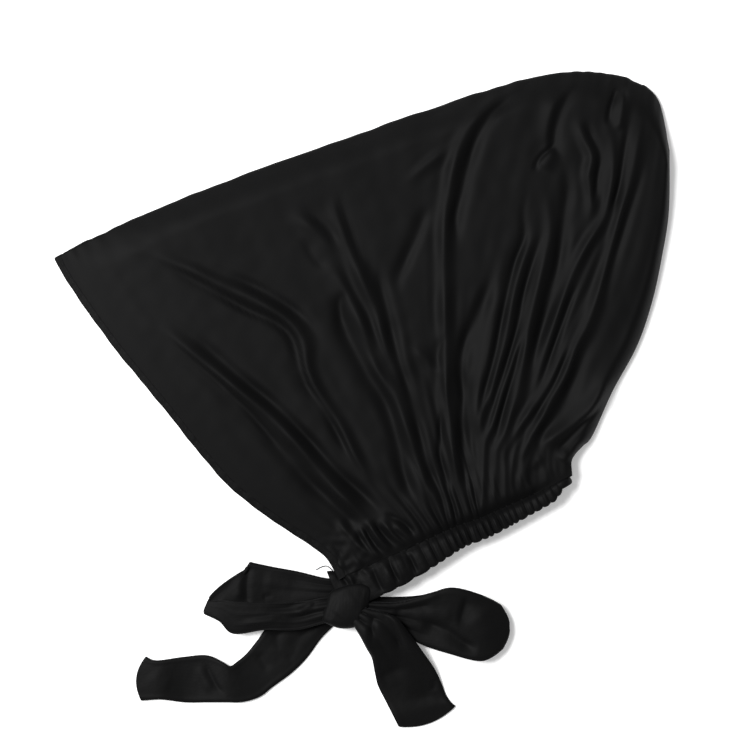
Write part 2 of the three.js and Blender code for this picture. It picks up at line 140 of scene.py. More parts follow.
def evenCurve(points, share):
    # the same curve at equal shares of its length
    dense = curveAt(points, np.linspace(0, 1, 401))
    travelled = travel(dense)
    wanted = np.asarray(share, float) * travelled[-1]
    return np.stack([np.interp(wanted, travelled, dense[:, k]) for k in range(dense.shape[1])], axis=-1)


def waves(x, y, seed, count, longest, shortest):
    # sum of plane waves with random directions and phases, the shorter ones lower, about 1 high
    draw = np.random.default_rng(seed)
    total = np.zeros_like(x)
    for _ in range(count):
        length = longest * (shortest / longest) ** draw.random()
        angle, phase = draw.random(2) * 2 * np.pi
        across = 2 * np.pi * (x * np.cos(angle) + y * np.sin(angle)) / length
        total += (length / longest) ** 0.7 * np.sin(across + phase)
    return total / np.sqrt(count / 2)


# Outline of the hood, as in the solid model, with the nape's corner drawn in a little more

faceEdge = fromShares([
    (0.462, 0), (0.436, 0.05), (0.37, 0.104), (0.303, 0.163), (0.254, 0.222),
    (0.174, 0.341), (0.093, 0.459), (0.022, 0.577), (-0.003, 0.63),
])
backEdge = fromShares([
    (0.843, 0.205), (0.842, 0.23), (0.848, 0.245), (0.862, 0.262), (0.878, 0.283), (0.911, 0.37),
    (0.951, 0.459), (0.976, 0.547), (0.992, 0.636), (1.003, 0.724), (1.004, 0.843),
])
clothLines = [fromShares(line) for line in [
    [(0.549, 0.046), (0.428, 0.217), (0.248, 0.425), (0.08, 0.684)],
    [(0.615, 0.083), (0.52, 0.272), (0.385, 0.547), (0.243, 0.766)],
    [(0.657, 0.105), (0.595, 0.341), (0.526, 0.622), (0.48, 0.87)],
    [(0.693, 0.12), (0.648, 0.36), (0.648, 0.675), (0.677, 0.951)],
    [(0.731, 0.14), (0.702, 0.36), (0.759, 0.695), (0.825, 0.996)],
    [(0.767, 0.159), (0.759, 0.36), (0.854, 0.695), (0.92, 0.99)],
    [(0.803, 0.179), (0.818, 0.35), (0.926, 0.675), (0.982, 0.948)],
]]

cloth = {
    "wall": 1.1 * mm, "loft": 9.5 * mm, "rimReach": 26 * mm, "backReach": 15 * mm, "seamTop": 3.3 * mm,
    "faceGap": 8 * mm, "neckGap": 5.2 * mm, "pieceGap": 0.3 * mm,
}
hem = {
    "length": 254 * mm, "width": 6 * mm, "overlap": 0.9 * mm, "thick": 2.0 * mm, "fold": 2.2 * mm,
    "tipBack": 1.4 * mm, "cornerShare": 0.35, "peakShare": 0.5, "lift": 0.06 * mm,
    "stepsAlong": 420, "stepsAround": 20, "turnSteps": 9,
}
casing = {
    "width": 13.6 * mm, "thick": 4.6 * mm, "ovalLess": 0.9 * mm, "pleats": 26,
    "puff": 1.55, "puffEnd": 0.42, "endShare": 0.68, "taper": (0.4, 0.6),
    "lead": 11 * mm, "leadWidth": 0.4, "leadSpread": 5.5 * mm,
    "tipBack": 5.2 * mm, "tipWidth": 0.6, "tipReach": 0.07, "dip": 4.5 * mm, "dipEnd": 0.14,
    "tuck": 1.6 * mm, "tuckShare": 0.6, "tuckRamp": (0.86, 0.1), "droop": 2.6 * mm, "droopWidth": 0.45,
    "droopAtKnot": (0.1, 0.2, 0.3, 1), "droopAtBack": (0.78, 0.12, 1, 0.1),
    "uneven": [(0.009, 3.1, 1), (0.005, 7.3, 2)], "lowest": 0.1 * mm,
    "stepsAlong": 700, "stepsAround": 28, "turnSteps": 14,
}


def faceLine(share, inset):
    # the face edge moved in by a distance at right angles to it
    ahead, behind = np.minimum(share + nudge, 1), np.maximum(share - nudge, 0)
    run = evenCurve(faceEdge, ahead) - evenCurve(faceEdge, behind)
    return evenCurve(faceEdge, share) + inset * rightOf(unit(run))


def hoodPlan(columns, rows, lap):
    # Catmull-Rom curves from the hem's inner edge, less the lap, over the cloth lines to the back edge
    controls = np.stack(
        [faceLine(rows, hem["width"] + cloth["pieceGap"] - lap)]
        + [evenCurve(line, rows) for line in clothLines]
        + [evenCurve(backEdge, rows)]
    )
    return np.transpose(curveAt(controls, columns), (1, 0, 2))


def pleatWave(column):
    # half sine waves, closer in some places than in others
    uneven = sum(size * np.sin(2 * np.pi * beats * column + phase) for size, beats, phase in casing["uneven"])
    return np.abs(np.sin(np.pi * casing["pleats"] * (column + uneven)))


def perPleat(share, low, spread, draw):
    # a random value at each pleat, from low to low + spread, with straight lines between
    knots = np.linspace(0, 1, casing["pleats"] + 1)
    return np.interp(share, knots, low + spread * draw.random(len(knots)))


casingMiddle = casing["thick"] / 2
casingStep = casing["thick"] + cloth["neckGap"]
neckCorner = faceLine(np.zeros(1), hem["width"] + cloth["pieceGap"])[0]
neckControls = np.stack([neckCorner] + [line[0] for line in clothLines] + [backEdge[0]])
neckLength = travel(curveAt(neckControls, np.linspace(0, 1, 400)))[-1]
casingLead = casing["lead"] / neckLength
tipShare = 1 - (casingStep / 2 + casing["tipBack"]) / neckLength


def knotDip(share):
    # how far casing, hem and cloth go down towards the knot: eased over the first part of the neck line
    return casing["dip"] * ease((casing["dipEnd"] - share) / (casing["dipEnd"] + casingLead))


def faceHeight(share):
    # height of the upper hem: the casing's at the neck, the gap's halfway, the folded edge's at the peak
    peak = hem["fold"] * 1.5 + cloth["pieceGap"]
    corner = casingMiddle + casingStep - knotDip(0)
    middle = hem["fold"] * 1.5 + cloth["faceGap"]
    low = ramp(share, 0, hem["cornerShare"], corner, middle)
    high = mix(peak, middle, swell((1 - share) / hem["peakShare"]))
    return np.where(share < 1 - hem["peakShare"], low, high)


# Making mesh objects from arrays

def inScene(name, data, location=(0, 0, 0)):
    # an object at a place in the scene
    made = bpy.data.objects.new(name, data)
    made.location = location
    bpy.context.scene.collection.objects.link(made)
    return made


def meshObject(name, points, faces, uv, material, replaced=()):
    # a mesh object from arrays of points, quads and per-point cloth coordinates, which rides on the root
    mesh = bpy.data.meshes.new(name)
    mesh.from_pydata(points.tolist(), [], faces.tolist())
    corners = np.empty(len(mesh.loops), dtype=np.int64)
    mesh.loops.foreach_get("vertex_index", corners)
    layer = mesh.uv_layers.new(name="clothUv")
    layer.data.foreach_set("uv", uv[corners].astype(np.float32).ravel())
    mesh.polygons.foreach_set("use_smooth", np.ones(len(mesh.polygons), dtype=bool))
    mesh.materials.append(material)
    mesh.update()
    made = inScene(name, mesh)
    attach(made, "root")
    if replaced:
        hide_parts(*replaced)
    return made


def gridQuads(rows, columns, start=0, wrap=False):
    # the quads of a grid of points, round its columns too where it wraps
    i, j = np.meshgrid(np.arange(rows - 1), np.arange(columns if wrap else columns - 1), indexing="ij")
    k = (j + 1) % columns
    quad = np.stack([i * columns + j, i * columns + k, (i + 1) * columns + k, (i + 1) * columns + j], axis=-1)
    return quad.reshape(-1, 4) + start


def outward(points, faces):
    # the faces turned round where the closed surface's signed volume is below zero
    a, b, c, d = (points[faces[:, k]] for k in range(4))
    volume = (np.cross(a, b) * c).sum() + (np.cross(a, c) * d).sum()
    return faces if volume > 0 else faces[:, ::-1]


def sheetArrays(upper, lower):
    # two like grids joined round their rim into one closed sheet: upper faces up, lower faces down
    rows, columns = upper.shape[:2]
    half = rows * columns
    rim = np.concatenate([
        np.arange(columns - 1), np.arange(rows - 1) * columns + columns - 1,
        half - 1 - np.arange(columns - 1), (rows - 1 - np.arange(rows - 1)) * columns,
    ])
    after = np.roll(rim, -1)
    faces = np.concatenate([
        gridQuads(rows, columns),
        gridQuads(rows, columns, half)[:, ::-1],
        np.stack([after, rim, rim + half, after + half], axis=-1),
    ])
    points = np.concatenate([upper.reshape(-1, 3), lower.reshape(-1, 3)])
    return points, outward(points, faces)


def tubeArrays(rings):
    # rings of points joined into a tube, its ends closed by quads across each ring
    count, around = rings.shape[:2]
    k = np.arange(around // 2 - 1)
    end = np.stack([k, k + 1, around - 2 - k, around - 1 - k], axis=-1)
    faces = np.concatenate([gridQuads(count, around, wrap=True), end, end[:, ::-1] + (count - 1) * around])
    points = rings.reshape(-1, 3)
    return points, outward(points, faces)


# Materials

def setInputs(node, values):
    # the node's inputs, by their labels
    for label, value in values.items():
        node.inputs[label].default_value = value


def jerseyMaterial(name, look):
    # near-black knit: wales and courses from the cloth's own coordinates, slow unevenness from the place
    made = bpy.data.materials.new(name)
    made.use_nodes = True
    nodes, links = made.node_tree.nodes, made.node_tree.links

    def wired(node, values, sources, output):
        # one output of a node whose inputs are set, or linked to other outputs
        setInputs(node, values)
        for label, source in sources.items():
            links.new(source, node.inputs[label])
        return node.outputs[output]

    place = nodes.new("ShaderNodeTexCoord").outputs["Object"]
    uvMap = nodes.new("ShaderNodeUVMap")
    uvMap.uv_map = "clothUv"

    def noise(scale, detail):
        node = nodes.new("ShaderNodeTexNoise")
        return wired(node, {"Scale": scale, "Detail": detail}, {"Vector": place}, "Fac")

    def bands(pitch, direction):
        # the wave texture's scale is the full turn over 20 times the pitch
        node = nodes.new("ShaderNodeTexWave")
        node.wave_type = "BANDS"
        node.bands_direction = direction
        values = {
            "Scale": 2 * math.pi / 20 / pitch, "Distortion": look["knitDistortion"],
            "Detail": 1, "Detail Scale": 2,
        }
        return wired(node, values, {"Vector": uvMap.outputs["UV"]}, "Fac")

    def mapped(value, low, high):
        node = nodes.new("ShaderNodeMapRange")
        return wired(node, {"To Min": low, "To Max": high}, {"Value": value}, "Result")

    def product(a, b):
        node = nodes.new("ShaderNodeMath")
        node.operation = "MULTIPLY"
        return wired(node, {}, {0: a, 1: b}, 0)

    def bump(height, distance, strength, under):
        return wired(
            nodes.new("ShaderNodeBump"), {"Distance": distance, "Strength": strength},
            {"Height": height, **under}, "Normal",
        )

    wear = mapped(noise(look["wearScale"], 4), *look["wearRange"])
    lint = mapped(noise(look["lintScale"], 2), *look["lintRange"])
    courses = mapped(bands(look["coursePitch"], "Y"), *look["courseRange"])
    knit = product(bands(look["walePitch"], "X"), courses)
    shade = product(product(wear, mapped(knit, *look["knitRange"])), lint)
    tint = nodes.new("ShaderNodeMix")
    tint.data_type = "RGBA"
    colour = wired(tint, {"A": (0, 0, 0, 1), "B": (*look["colour"], 1)}, {"Factor": shade}, "Result")
    rumple = bump(noise(look["rumpleScale"], 3), look["rumpleDepth"], 1, {})
    fine = bump(knit, look["knitDepth"], look["knitStrength"], {"Normal": rumple})
    surface = {
        "Roughness": look["roughness"], "Specular IOR Level": look["specular"], "Sheen Weight": look["sheen"],
        "Sheen Roughness": look["sheenRoughness"], "Sheen Tint": (*look["sheenTint"], 1),
    }
    wired(nodes["Principled BSDF"], surface, {"Base Color": colour, "Normal": fine}, "BSDF")
    return made


jersey = {
    "colour": (0.0031, 0.0031, 0.0032), "roughness": 0.6, "specular": 0.068,
    "sheen": 0.03, "sheenRoughness": 0.4, "sheenTint": (0.94, 0.95, 1.0),
    "walePitch": 0.9 * mm, "coursePitch": 0.75 * mm, "courseRange": (0.55, 1), "knitDistortion": 1.2,
    "knitRange": (0.7, 1.0), "knitDepth": 0.1 * mm, "knitStrength": 0.3,
    "wearScale": 30, "wearRange": (0.72, 1.0), "lintScale": 900, "lintRange": (0.8, 1.0),
    "rumpleScale": 45, "rumpleDepth": 0.18 * mm,
}
panelMaterial = jerseyMaterial("panelJersey", jersey)
hemMaterial = jerseyMaterial("hemJersey", {**jersey, "rumpleScale": 160, "rumpleDepth": 0.5 * mm})
casingMaterial = jerseyMaterial("casingJersey", {**jersey, "rumpleScale": 200, "rumpleDepth": 0.4 * mm})
tieMaterial = jerseyMaterial("tieJersey", {**jersey, "rumpleScale": 110, "rumpleDepth": 0.35 * mm})
threadMaterial = jerseyMaterial("threadBlack", {
    **jersey, "colour": (0.011, 0.011, 0.0115), "roughness": 0.6, "specular": 0.2,
    "walePitch": 0.3 * mm, "coursePitch": 0.3 * mm,
})
print("materials done")


# Folds of the upper panel, from the casing towards the crown, in the photo's pixels. rise is the height in
# millimetres, left and right how far it falls away on each side, fadeIn and fadeOut shares of its length.
foldRows = [
    ("temple", 3.6, 2.6, 2.6, 0.12, 0.3, [
        (368, 522), (352, 504), (337, 490), (317, 467), (295, 440), (270, 415), (240, 390), (212, 367),
        (190, 350), (167, 330), (153, 315)]),
    ("templeHollow", -4.6, 3.2, 3.6, 0.1, 0.45, [
        (386, 520), (370, 500), (337, 470), (307, 437), (275, 405), (240, 377), (207, 347), (182, 325),
        (165, 308)]),
    ("cheekHollow", -5.0, 4.6, 4.0, 0.1, 0.75, [
        (362, 530), (350, 519), (337, 507), (325, 495), (305, 477), (285, 455), (260, 424), (235, 398)]),
    ("cheekLine", -2.0, 1.7, 1.7, 0.2, 0.3, [(290, 460), (260, 423), (230, 391), (192, 358), (160, 330)]),
    ("brow", 3.0, 2.4, 2.4, 0.15, 0.4, [
        (378, 492), (352, 450), (338, 422), (330, 412), (317, 392), (307, 370), (305, 345), (297, 330),
        (280, 315), (255, 300), (225, 287), (195, 272), (165, 260), (137, 250), (107, 245)]),
    ("browHollow", -4.0, 2.5, 2.4, 0.15, 0.4, [
        (366, 484), (345, 446), (325, 410), (308, 385), (298, 355), (290, 334), (273, 320), (250, 311),
        (215, 291), (182, 273), (150, 259), (130, 252)]),
    ("browUpper", -3.0, 2.8, 3.0, 0.3, 0.4, [
        (324, 350), (315, 330), (293, 310), (266, 293), (235, 278), (205, 267)]),
    ("innerHollow", -4.2, 4.5, 4.0, 0.1, 0.25, [
        (414, 505), (406, 484), (400, 458), (392, 420), (380, 390), (366, 368), (346, 334), (339, 305),
        (335, 278)]),
    ("bundleA", 3.6, 3.2, 2.6, 0.12, 0.25, [
        (440, 520), (424, 482), (410, 440), (396, 406), (376, 368), (366, 334), (350, 298), (336, 274),
        (322, 256)]),
    ("bundleGap", -1.6, 2.2, 2.2, 0.2, 0.3, [
        (412, 428), (392, 372), (378, 340), (368, 318), (354, 292), (338, 264)]),
    ("bundleB", 3.4, 2.6, 3.0, 0.2, 0.3, [
        (422, 462), (410, 420), (396, 382), (384, 346), (376, 314), (360, 276), (348, 244), (338, 216),
        (329, 182)]),
    ("bundleHollow", -2.2, 2.4, 2.8, 0.2, 0.3, [
        (364, 270), (354, 244), (346, 222), (341, 204), (343, 188)]),
    ("middleHollow", -4.2, 3.0, 4.4, 0.1, 0.25, [
        (436, 498), (426, 462), (416, 420), (404, 376), (393, 340), (386, 308), (380, 280), (381, 252)]),
    ("innerRidge", 1.8, 2.5, 3.0, 0.2, 0.4, [
        (448, 502), (438, 474), (428, 444), (414, 400), (402, 350), (394, 320), (389, 286), (388, 264)]),
    ("shortHollow", -3.4, 4.0, 3.4, 0.3, 0.3, [
        (397, 300), (398, 280), (405, 262), (414, 242), (422, 222), (430, 200)]),
    ("crossRidge", 1.4, 2.6, 2.6, 0.3, 0.4, [(443, 380), (430, 366), (417, 352), (408, 338)]),
    ("smallHollow", -2.2, 3.4, 2.2, 0.3, 0.4, [(439, 372), (437, 358), (440, 344), (444, 334)]),
    ("slit", -3.4, 1.8, 2.2, 0.2, 0.3, [(452, 496), (444, 472), (439, 452), (440, 430), (442, 404)]),
    ("crown", 3.4, 2.4, 2.4, 0.12, 0.3, [
        (464, 500), (455, 468), (450, 430), (446, 395), (446, 364), (444, 300), (444, 225), (448, 196),
        (455, 160), (466, 134), (480, 114), (505, 92), (530, 80)]),
    ("crownHollow", -4.6, 2.6, 4.6, 0.15, 0.3, [
        (458, 250), (454, 222), (460, 194), (467, 166), (476, 138), (490, 116), (510, 101), (530, 87)]),
    ("crownVein", 1.3, 1.8, 2.4, 0.3, 0.4, [(404, 188), (424, 168), (446, 152), (462, 140)]),
    ("frontValley", -5.4, 3.4, 5.0, 0.1, 0.25, [
        (466, 490), (463, 456), (461, 424), (463, 396), (460, 368), (464, 344), (474, 318), (486, 290),
        (492, 268)]),
    ("backOne", 2.6, 3.2, 2.4, 0.2, 0.3, [
        (478, 440), (476, 410), (484, 374), (492, 330), (500, 296), (508, 268)]),
    ("backOneHollow", -3.2, 2.2, 2.2, 0.3, 0.25, [
        (474, 462), (475, 430), (481, 400), (491, 364), (498, 332), (505, 300), (514, 264), (523, 238),
        (522, 214), (528, 184)]),
    ("backTwo", 2.8, 2.2, 2.0, 0.3, 0.3, [
        (481, 462), (479, 436), (482, 412), (490, 392), (498, 362), (506, 328), (514, 290), (522, 262),
        (532, 238), (540, 222)]),
    ("backTwoHollow", -3.4, 2.0, 1.8, 0.3, 0.25, [
        (485, 440), (489, 420), (496, 392), (506, 362), (514, 334), (522, 296), (534, 254), (543, 228)]),
    ("backThree", 2.5, 1.9, 1.9, 0.05, 0.4, [
        (481, 516), (482, 495), (484, 447), (492, 422), (499, 399), (509, 370), (520, 336), (528, 314)]),
    ("backThreeHollow", -3.0, 1.9, 1.9, 0.2, 0.3, [
        (493, 440), (500, 416), (509, 384), (518, 352), (525, 330)]),
    ("backFour", 2.8, 2.1, 2.2, 0.05, 0.3, [
        (495, 510), (493, 490), (494, 462), (495, 450), (504, 432), (510, 412), (516, 393), (521, 370),
        (525, 346), (532, 306), (540, 272), (548, 238), (548, 216), (544, 196), (538, 180)]),
    ("bigHollow", -5.6, 3.2, 4.6, 0.3, 0.35, [
        (524, 408), (526, 386), (532, 358), (540, 328), (548, 298), (556, 268), (560, 238), (563, 214),
        (566, 186), (560, 152)]),
    ("backFive", 2.6, 2.0, 1.9, 0.3, 0.3, [
        (531, 392), (539, 364), (549, 334), (560, 302), (570, 276), (584, 248), (602, 220), (608, 196),
        (611, 172), (611, 150), (606, 130), (600, 108)]),
    ("backFiveHollow", -3.4, 1.8, 2.0, 0.3, 0.3, [
        (537, 388), (549, 356), (559, 328), (569, 300), (577, 280)]),
    ("backSix", 2.6, 1.9, 1.9, 0.05, 0.3, [
        (506, 505), (504, 488), (504, 467), (504, 452), (511, 440), (520, 424), (532, 407), (545, 389),
        (555, 370), (566, 342), (576, 310)]),
    ("backSixShort", 2.0, 1.5, 1.5, 0.1, 0.4, [
        (515, 501), (511, 487), (511, 470), (514, 449), (525, 432), (532, 421)]),
    ("backSeven", 3.1, 2.1, 2.1, 0.05, 0.3, [
        (524, 497), (519, 486), (519, 472), (521, 455), (528, 440), (540, 419), (551, 397), (564, 376),
        (574, 348), (586, 324), (598, 290), (608, 256), (618, 216), (628, 184), (634, 156), (638, 130),
        (641, 102)]),
    ("backEight", 2.0, 1.5, 1.5, 0.1, 0.4, [(533, 493), (527, 484), (525, 473), (527, 460), (533, 450)]),
    ("napeDash", 1.6, 1.6, 1.6, 0.3, 0.3, [(531, 470), (534, 462), (541, 455)]),
    ("napeSoft", 0.9, 2.2, 2.2, 0.3, 0.3, [(546, 487), (545, 476), (547, 465)]),
    ("backSixGap", -2.6, 1.8, 1.8, 0.2, 0.3, [(530, 424), (541, 404), (553, 383), (562, 362), (570, 344)]),
    ("hollowSeven", -2.4, 2.4, 2.6, 0.2, 0.3, [
        (600, 306), (606, 278), (616, 246), (626, 214), (636, 184), (642, 160)]),
    ("napeHollow", -5.0, 4.2, 6.4, 0.15, 0.4, [
        (530, 444), (541, 434), (552, 422), (563, 402), (571, 382), (580, 354), (592, 322)]),
    ("nape", 3.4, 3.2, 2.6, 0.15, 0.3, [
        (537, 446), (557, 433), (576, 420), (590, 407), (602, 388), (612, 366)]),
    ("napeCrease", -2.8, 1.8, 1.6, 0.15, 0.3, [
        (555, 452), (563, 443), (572, 433), (582, 423), (592, 414), (602, 400)]),
    ("napePuff", 1.2, 2.2, 2.2, 0.3, 0.3, [(559, 461), (563, 456), (568, 452)]),
    ("ridgeUp", 2.8, 2.0, 2.2, 0.2, 0.2, [
        (588, 224), (590, 200), (587, 178), (590, 158), (582, 140), (575, 118)]),
    ("ridgeUpHollow", -3.0, 1.8, 2.2, 0.2, 0.2, [
        (592, 210), (595, 182), (597, 158), (590, 140), (582, 122)]),
    ("crownValley", -3.4, 2.6, 3.6, 0.3, 0.3, [(556, 168), (552, 140), (557, 116), (566, 100), (578, 86)]),
    ("crownRidge", 1.8, 3.0, 2.4, 0.3, 0.4, [(545, 156), (547, 130), (552, 108), (562, 90)]),
    ("cornerHollow", -3.0, 1.6, 2.0, 0.2, 0.3, [(606, 128), (608, 112), (613, 96), (616, 88)]),
    ("cornerRidge", 2.2, 1.8, 1.8, 0.2, 0.3, [(616, 134), (619, 118), (622, 100), (622, 86)]),
    ("cornerHollowTwo", -3.0, 1.8, 2.2, 0.2, 0.3, [
        (608, 218), (616, 190), (621, 162), (624, 140), (626, 122)]),
    ("pinch", -2.8, 1.3, 1.3, 0.2, 0.2, [(534, 174), (536, 164), (541, 157), (548, 151), (553, 144)]),
    ("pinchPuff", 2.2, 3.2, 3.0, 0.3, 0.3, [(540, 172), (548, 160), (556, 152)]),
    ("faceFoldOne", -1.6, 2.6, 2.6, 0.3, 0.4, [(340, 252), (330, 232), (318, 220), (302, 206)]),
    ("faceFoldTwo", 1.6, 2.6, 2.6, 0.3, 0.4, [(336, 256), (320, 238), (306, 224), (288, 214)]),
    ("faceFoldThree", -1.6, 2.4, 2.4, 0.3, 0.4, [(330, 272), (316, 260), (308, 246), (300, 238)]),
    ("bundleEndA", -1.8, 2.2, 2.4, 0.3, 0.3, [(342, 330), (340, 305), (344, 290)]),
    ("frontRopeF", 4.2, 1.9, 1.6, 0.15, 0.3, [(383, 560), (374, 555), (359, 545), (347, 532), (337, 517)]),
    ("frontLineA", -4.5, 1.5, 1.5, 0.15, 0.3, [(379, 560), (371, 551), (362, 540), (356, 526)]),
    ("frontRopeA", 3.5, 1.4, 1.4, 0.15, 0.3, [(382, 558), (373, 547), (366, 536), (360, 524)]),
    ("frontLineB", -4.2, 1.3, 1.3, 0.15, 0.3, [(386, 556), (377, 547), (369, 535), (363, 522)]),
    ("frontRopeB", 3.8, 1.6, 1.6, 0.15, 0.3, [(391, 551), (382, 541), (374, 530), (366, 517)]),
    ("frontLineC", -3.6, 1.4, 1.4, 0.15, 0.3, [(397, 549), (389, 541), (380, 531), (373, 520)]),
    ("frontRopeC", 3.8, 1.6, 1.6, 0.15, 0.3, [(406, 547), (397, 537), (388, 527), (379, 517)]),
    ("frontLineD", -4.2, 1.4, 1.6, 0.15, 0.3, [(414, 533), (404, 523), (394, 517), (383, 513)]),
    ("frontRopeD", 3.5, 1.5, 1.5, 0.15, 0.3, [(417, 545), (410, 537), (401, 529), (390, 519)]),
    ("frontLineE", -3.3, 1.3, 1.3, 0.15, 0.3, [(413, 546), (405, 539), (396, 532), (388, 526)]),
]


foldLook = {
    "ridge": 0.76, "crest": 1.0, "moat": 0.17, "moatAt": 2.6, "moatWidth": 1.4, "ridgeReach": 4.5,
    "hollow": 0.52, "hollowReach": 2.6, "uneven": 0.25, "beat": 38 * mm, "beatRange": (0.7, 0.6),
    "blend": 4, "seed": 17, "steps": 40,
}


def foldField(x, y, table):
    # each fold: rise x fade along its path x a shape across it with its own width on each side, all added up;
    # hollows are bells, ridges fall away exponentially from a small round crest into a shallow moat
    shape = x.shape
    x, y = x.ravel(), y.ravel()
    total = np.zeros_like(x)
    draw = np.random.default_rng(foldLook["seed"])
    fewest, spread = foldLook["beatRange"]
    for _, rise, left, right, fadeIn, fadeOut, path in table:
        line = evenCurve(fromPhoto(path), np.linspace(0, 1, foldLook["steps"]))
        phase = draw.random() * 2 * np.pi
        beats = travel(line)[-1] / foldLook["beat"] * (fewest + spread * draw.random())
        reach = foldLook["ridgeReach" if rise > 0 else "hollowReach"] * max(left, right) * mm
        low, high = line.min(axis=0) - reach, line.max(axis=0) + reach
        near = np.flatnonzero((x > low[0]) & (x < high[0]) & (y > low[1]) & (y < high[1]))
        start, run = line[:-1], np.diff(line, axis=0)
        runSquare = (run**2).sum(axis=1)
        toX, toY = x[near][:, None] - start[:, 0], y[near][:, None] - start[:, 1]
        t = np.clip((toX * run[:, 0] + toY * run[:, 1]) / runSquare, 0, 1)
        offX, offY = toX - t * run[:, 0], toY - t * run[:, 1]
        off = np.hypot(offX, offY)
        best = off.argmin(axis=1)
        pick = np.arange(len(near))
        along = (best + t[pick, best]) / len(run)
        side = run[best, 0] * offY[pick, best] - run[best, 1] * offX[pick, best]
        width = mix(right, left, ease(0.5 + side / runSquare[best] * foldLook["blend"])) * mm
        fade = ease(along / fadeIn) * ease((1 - along) / fadeOut)
        fade *= 1 + foldLook["uneven"] * np.sin(2 * np.pi * beats * along + phase)
        away = off[pick, best] / width
        if rise > 0:
            across = np.exp(foldLook["crest"] - np.hypot(away, foldLook["crest"])) * foldLook["ridge"]
            across -= bell((away - foldLook["moatAt"]) / foldLook["moatWidth"]) * foldLook["moat"]
        else:
            across = bell(away) * foldLook["hollow"]
        total[near] += rise * mm * fade * across
    return total.reshape(shape)


pleat = {
    "seed": 4, "height": 2.0 * mm, "heights": (0.55, 0.9), "sharp": 1.5, "fall": 1.4,
    "reach": 30 * mm, "reaches": (0.6, 1.1), "middle": 0.5, "rearReach": (0.5, 0.2, 1, 1.35),
    "rearHeight": (0.48, 0.05, 1, 0.08), "bend": 0.12, "bendLength": 9 * mm, "bendTurns": 40,
    "bow": 0.03, "bowReach": 42 * mm, "bowRamp": (0.45, 0.25),
    "wideHeight": 0.8 * mm, "wideSharp": 1.3, "wideFall": 1.6, "wideReach": 1.9, "wideBend": 0.4,
}


def pleats(column, fromNeck):
    # height x (a power of the pleat wave, less its middle) x a fall with the distance from the casing, each
    # ridge with its own height and reach and bowed to the left in the middle; plus wider ones of half their
    # number that run on farther; nearly all away at the rear, where the ridges are rows of the fold table
    draw = np.random.default_rng(pleat["seed"])
    height = perPleat(column, *pleat["heights"], draw)
    reach = perPleat(column, *pleat["reaches"], draw) * pleat["reach"] * ramp(column, *pleat["rearReach"])
    bend = np.sin(fromNeck / pleat["bendLength"] + pleat["bendTurns"] * column)
    bend = pleat["bend"] / casing["pleats"] * bend
    bow = pleat["bow"] * np.sin(np.pi * np.clip(fromNeck / pleat["bowReach"], 0, 1))
    bow = bow * ramp(column, *pleat["bowRamp"])
    narrow = pleatWave(column + bend + bow) ** pleat["sharp"] - pleat["middle"]
    wide = np.abs(np.sin(np.pi * casing["pleats"] / 2 * (column + bow + pleat["wideBend"] * bend)))
    wide = wide ** pleat["wideSharp"] - pleat["middle"]
    narrow = pleat["height"] * height * narrow * np.exp(-((fromNeck / reach) ** pleat["fall"]))
    farther = pleat["wideReach"] * reach
    wide = pleat["wideHeight"] * height * wide * np.exp(-((fromNeck / farther) ** pleat["wideFall"]))
    return (narrow + wide) * ramp(column, *pleat["rearHeight"])


# Small crumples round one spot at the knot, on the panel and on the casing
crumple = {
    "height": 0.75 * mm, "reach": 14 * mm, "waves": (41, 12, 13 * mm, 5 * mm),
    "panelSpot": (350, 560), "casingSpot": (354, 576),
}


def crumpled(x, y, spot):
    # waves under a bell round the spot
    away = np.hypot(x - spot[0], y - spot[1]) / crumple["reach"]
    return crumple["height"] * bell(away) * waves(x, y, *crumple["waves"])


panel = {
    "columns": 246, "rows": 186, "lap": 2.2 * mm, "grain": 25, "lowest": 1.35 * mm,
    "hemLift": 0.05 * mm, "hemEnd": 0.22, "neckEnd": 0.12, "rimFull": 1.2,
    "foldsStart": 0.1, "foldsNeck": (0.46, 0.06, 0.06, 0.025), "wallStart": 0.012, "wallShare": 0.15,
    "seamFade": 9 * mm, "fullAtKnot": (0.1, 0.2, 0.3, 1), "leastPleats": 0.12,
    "seamDrop": 3.2 * mm, "seamReach": 4.2 * mm, "seamStart": 0.06, "seamAtKnot": (0.1, 0.2, 0.4, 1),
    "seamAtBack": (0.78, 0.14, 1, 0.1),
    "ripple": 0.14 * mm, "rippleWaves": (11, 26, 46 * mm, 9 * mm),
    "fan": 0.35 * mm, "fanWaves": (5, 30, 0.09, 0.02), "fanLong": 0.12, "fanUp": (0.25, 0.5, 1, 0.35),
    "fanRear": (0.5, 0.1), "fanRearUp": (0.3, 0.1), "fanRearLess": 0.15,
    "rimPucker": 0.4 * mm, "rimPuckerReach": 0.035, "rimWaves": (21, 16, 0.05, 0.016), "stretch": 0.9,
    "edgeWander": 0.45 * mm, "wanderReach": 0.05, "wanderWaves": (31, 14, 0.06, 0.018),
    "rimRound": 2.2 * mm, "rimDrop": 1.0 * mm, "rimSteps": (3, 2.2, 1.5, 0.9, 0.45, 0.15, 0),
}


def seamValley(column, fromNeck):
    # depth x a bell of the distance from the casing, weaker at the knot and at the back
    valley = -panel["seamDrop"] * bell(fromNeck / panel["seamReach"]) * ease(column / panel["seamStart"])
    return valley * ramp(column, *panel["seamAtKnot"]) * ramp(column, *panel["seamAtBack"])


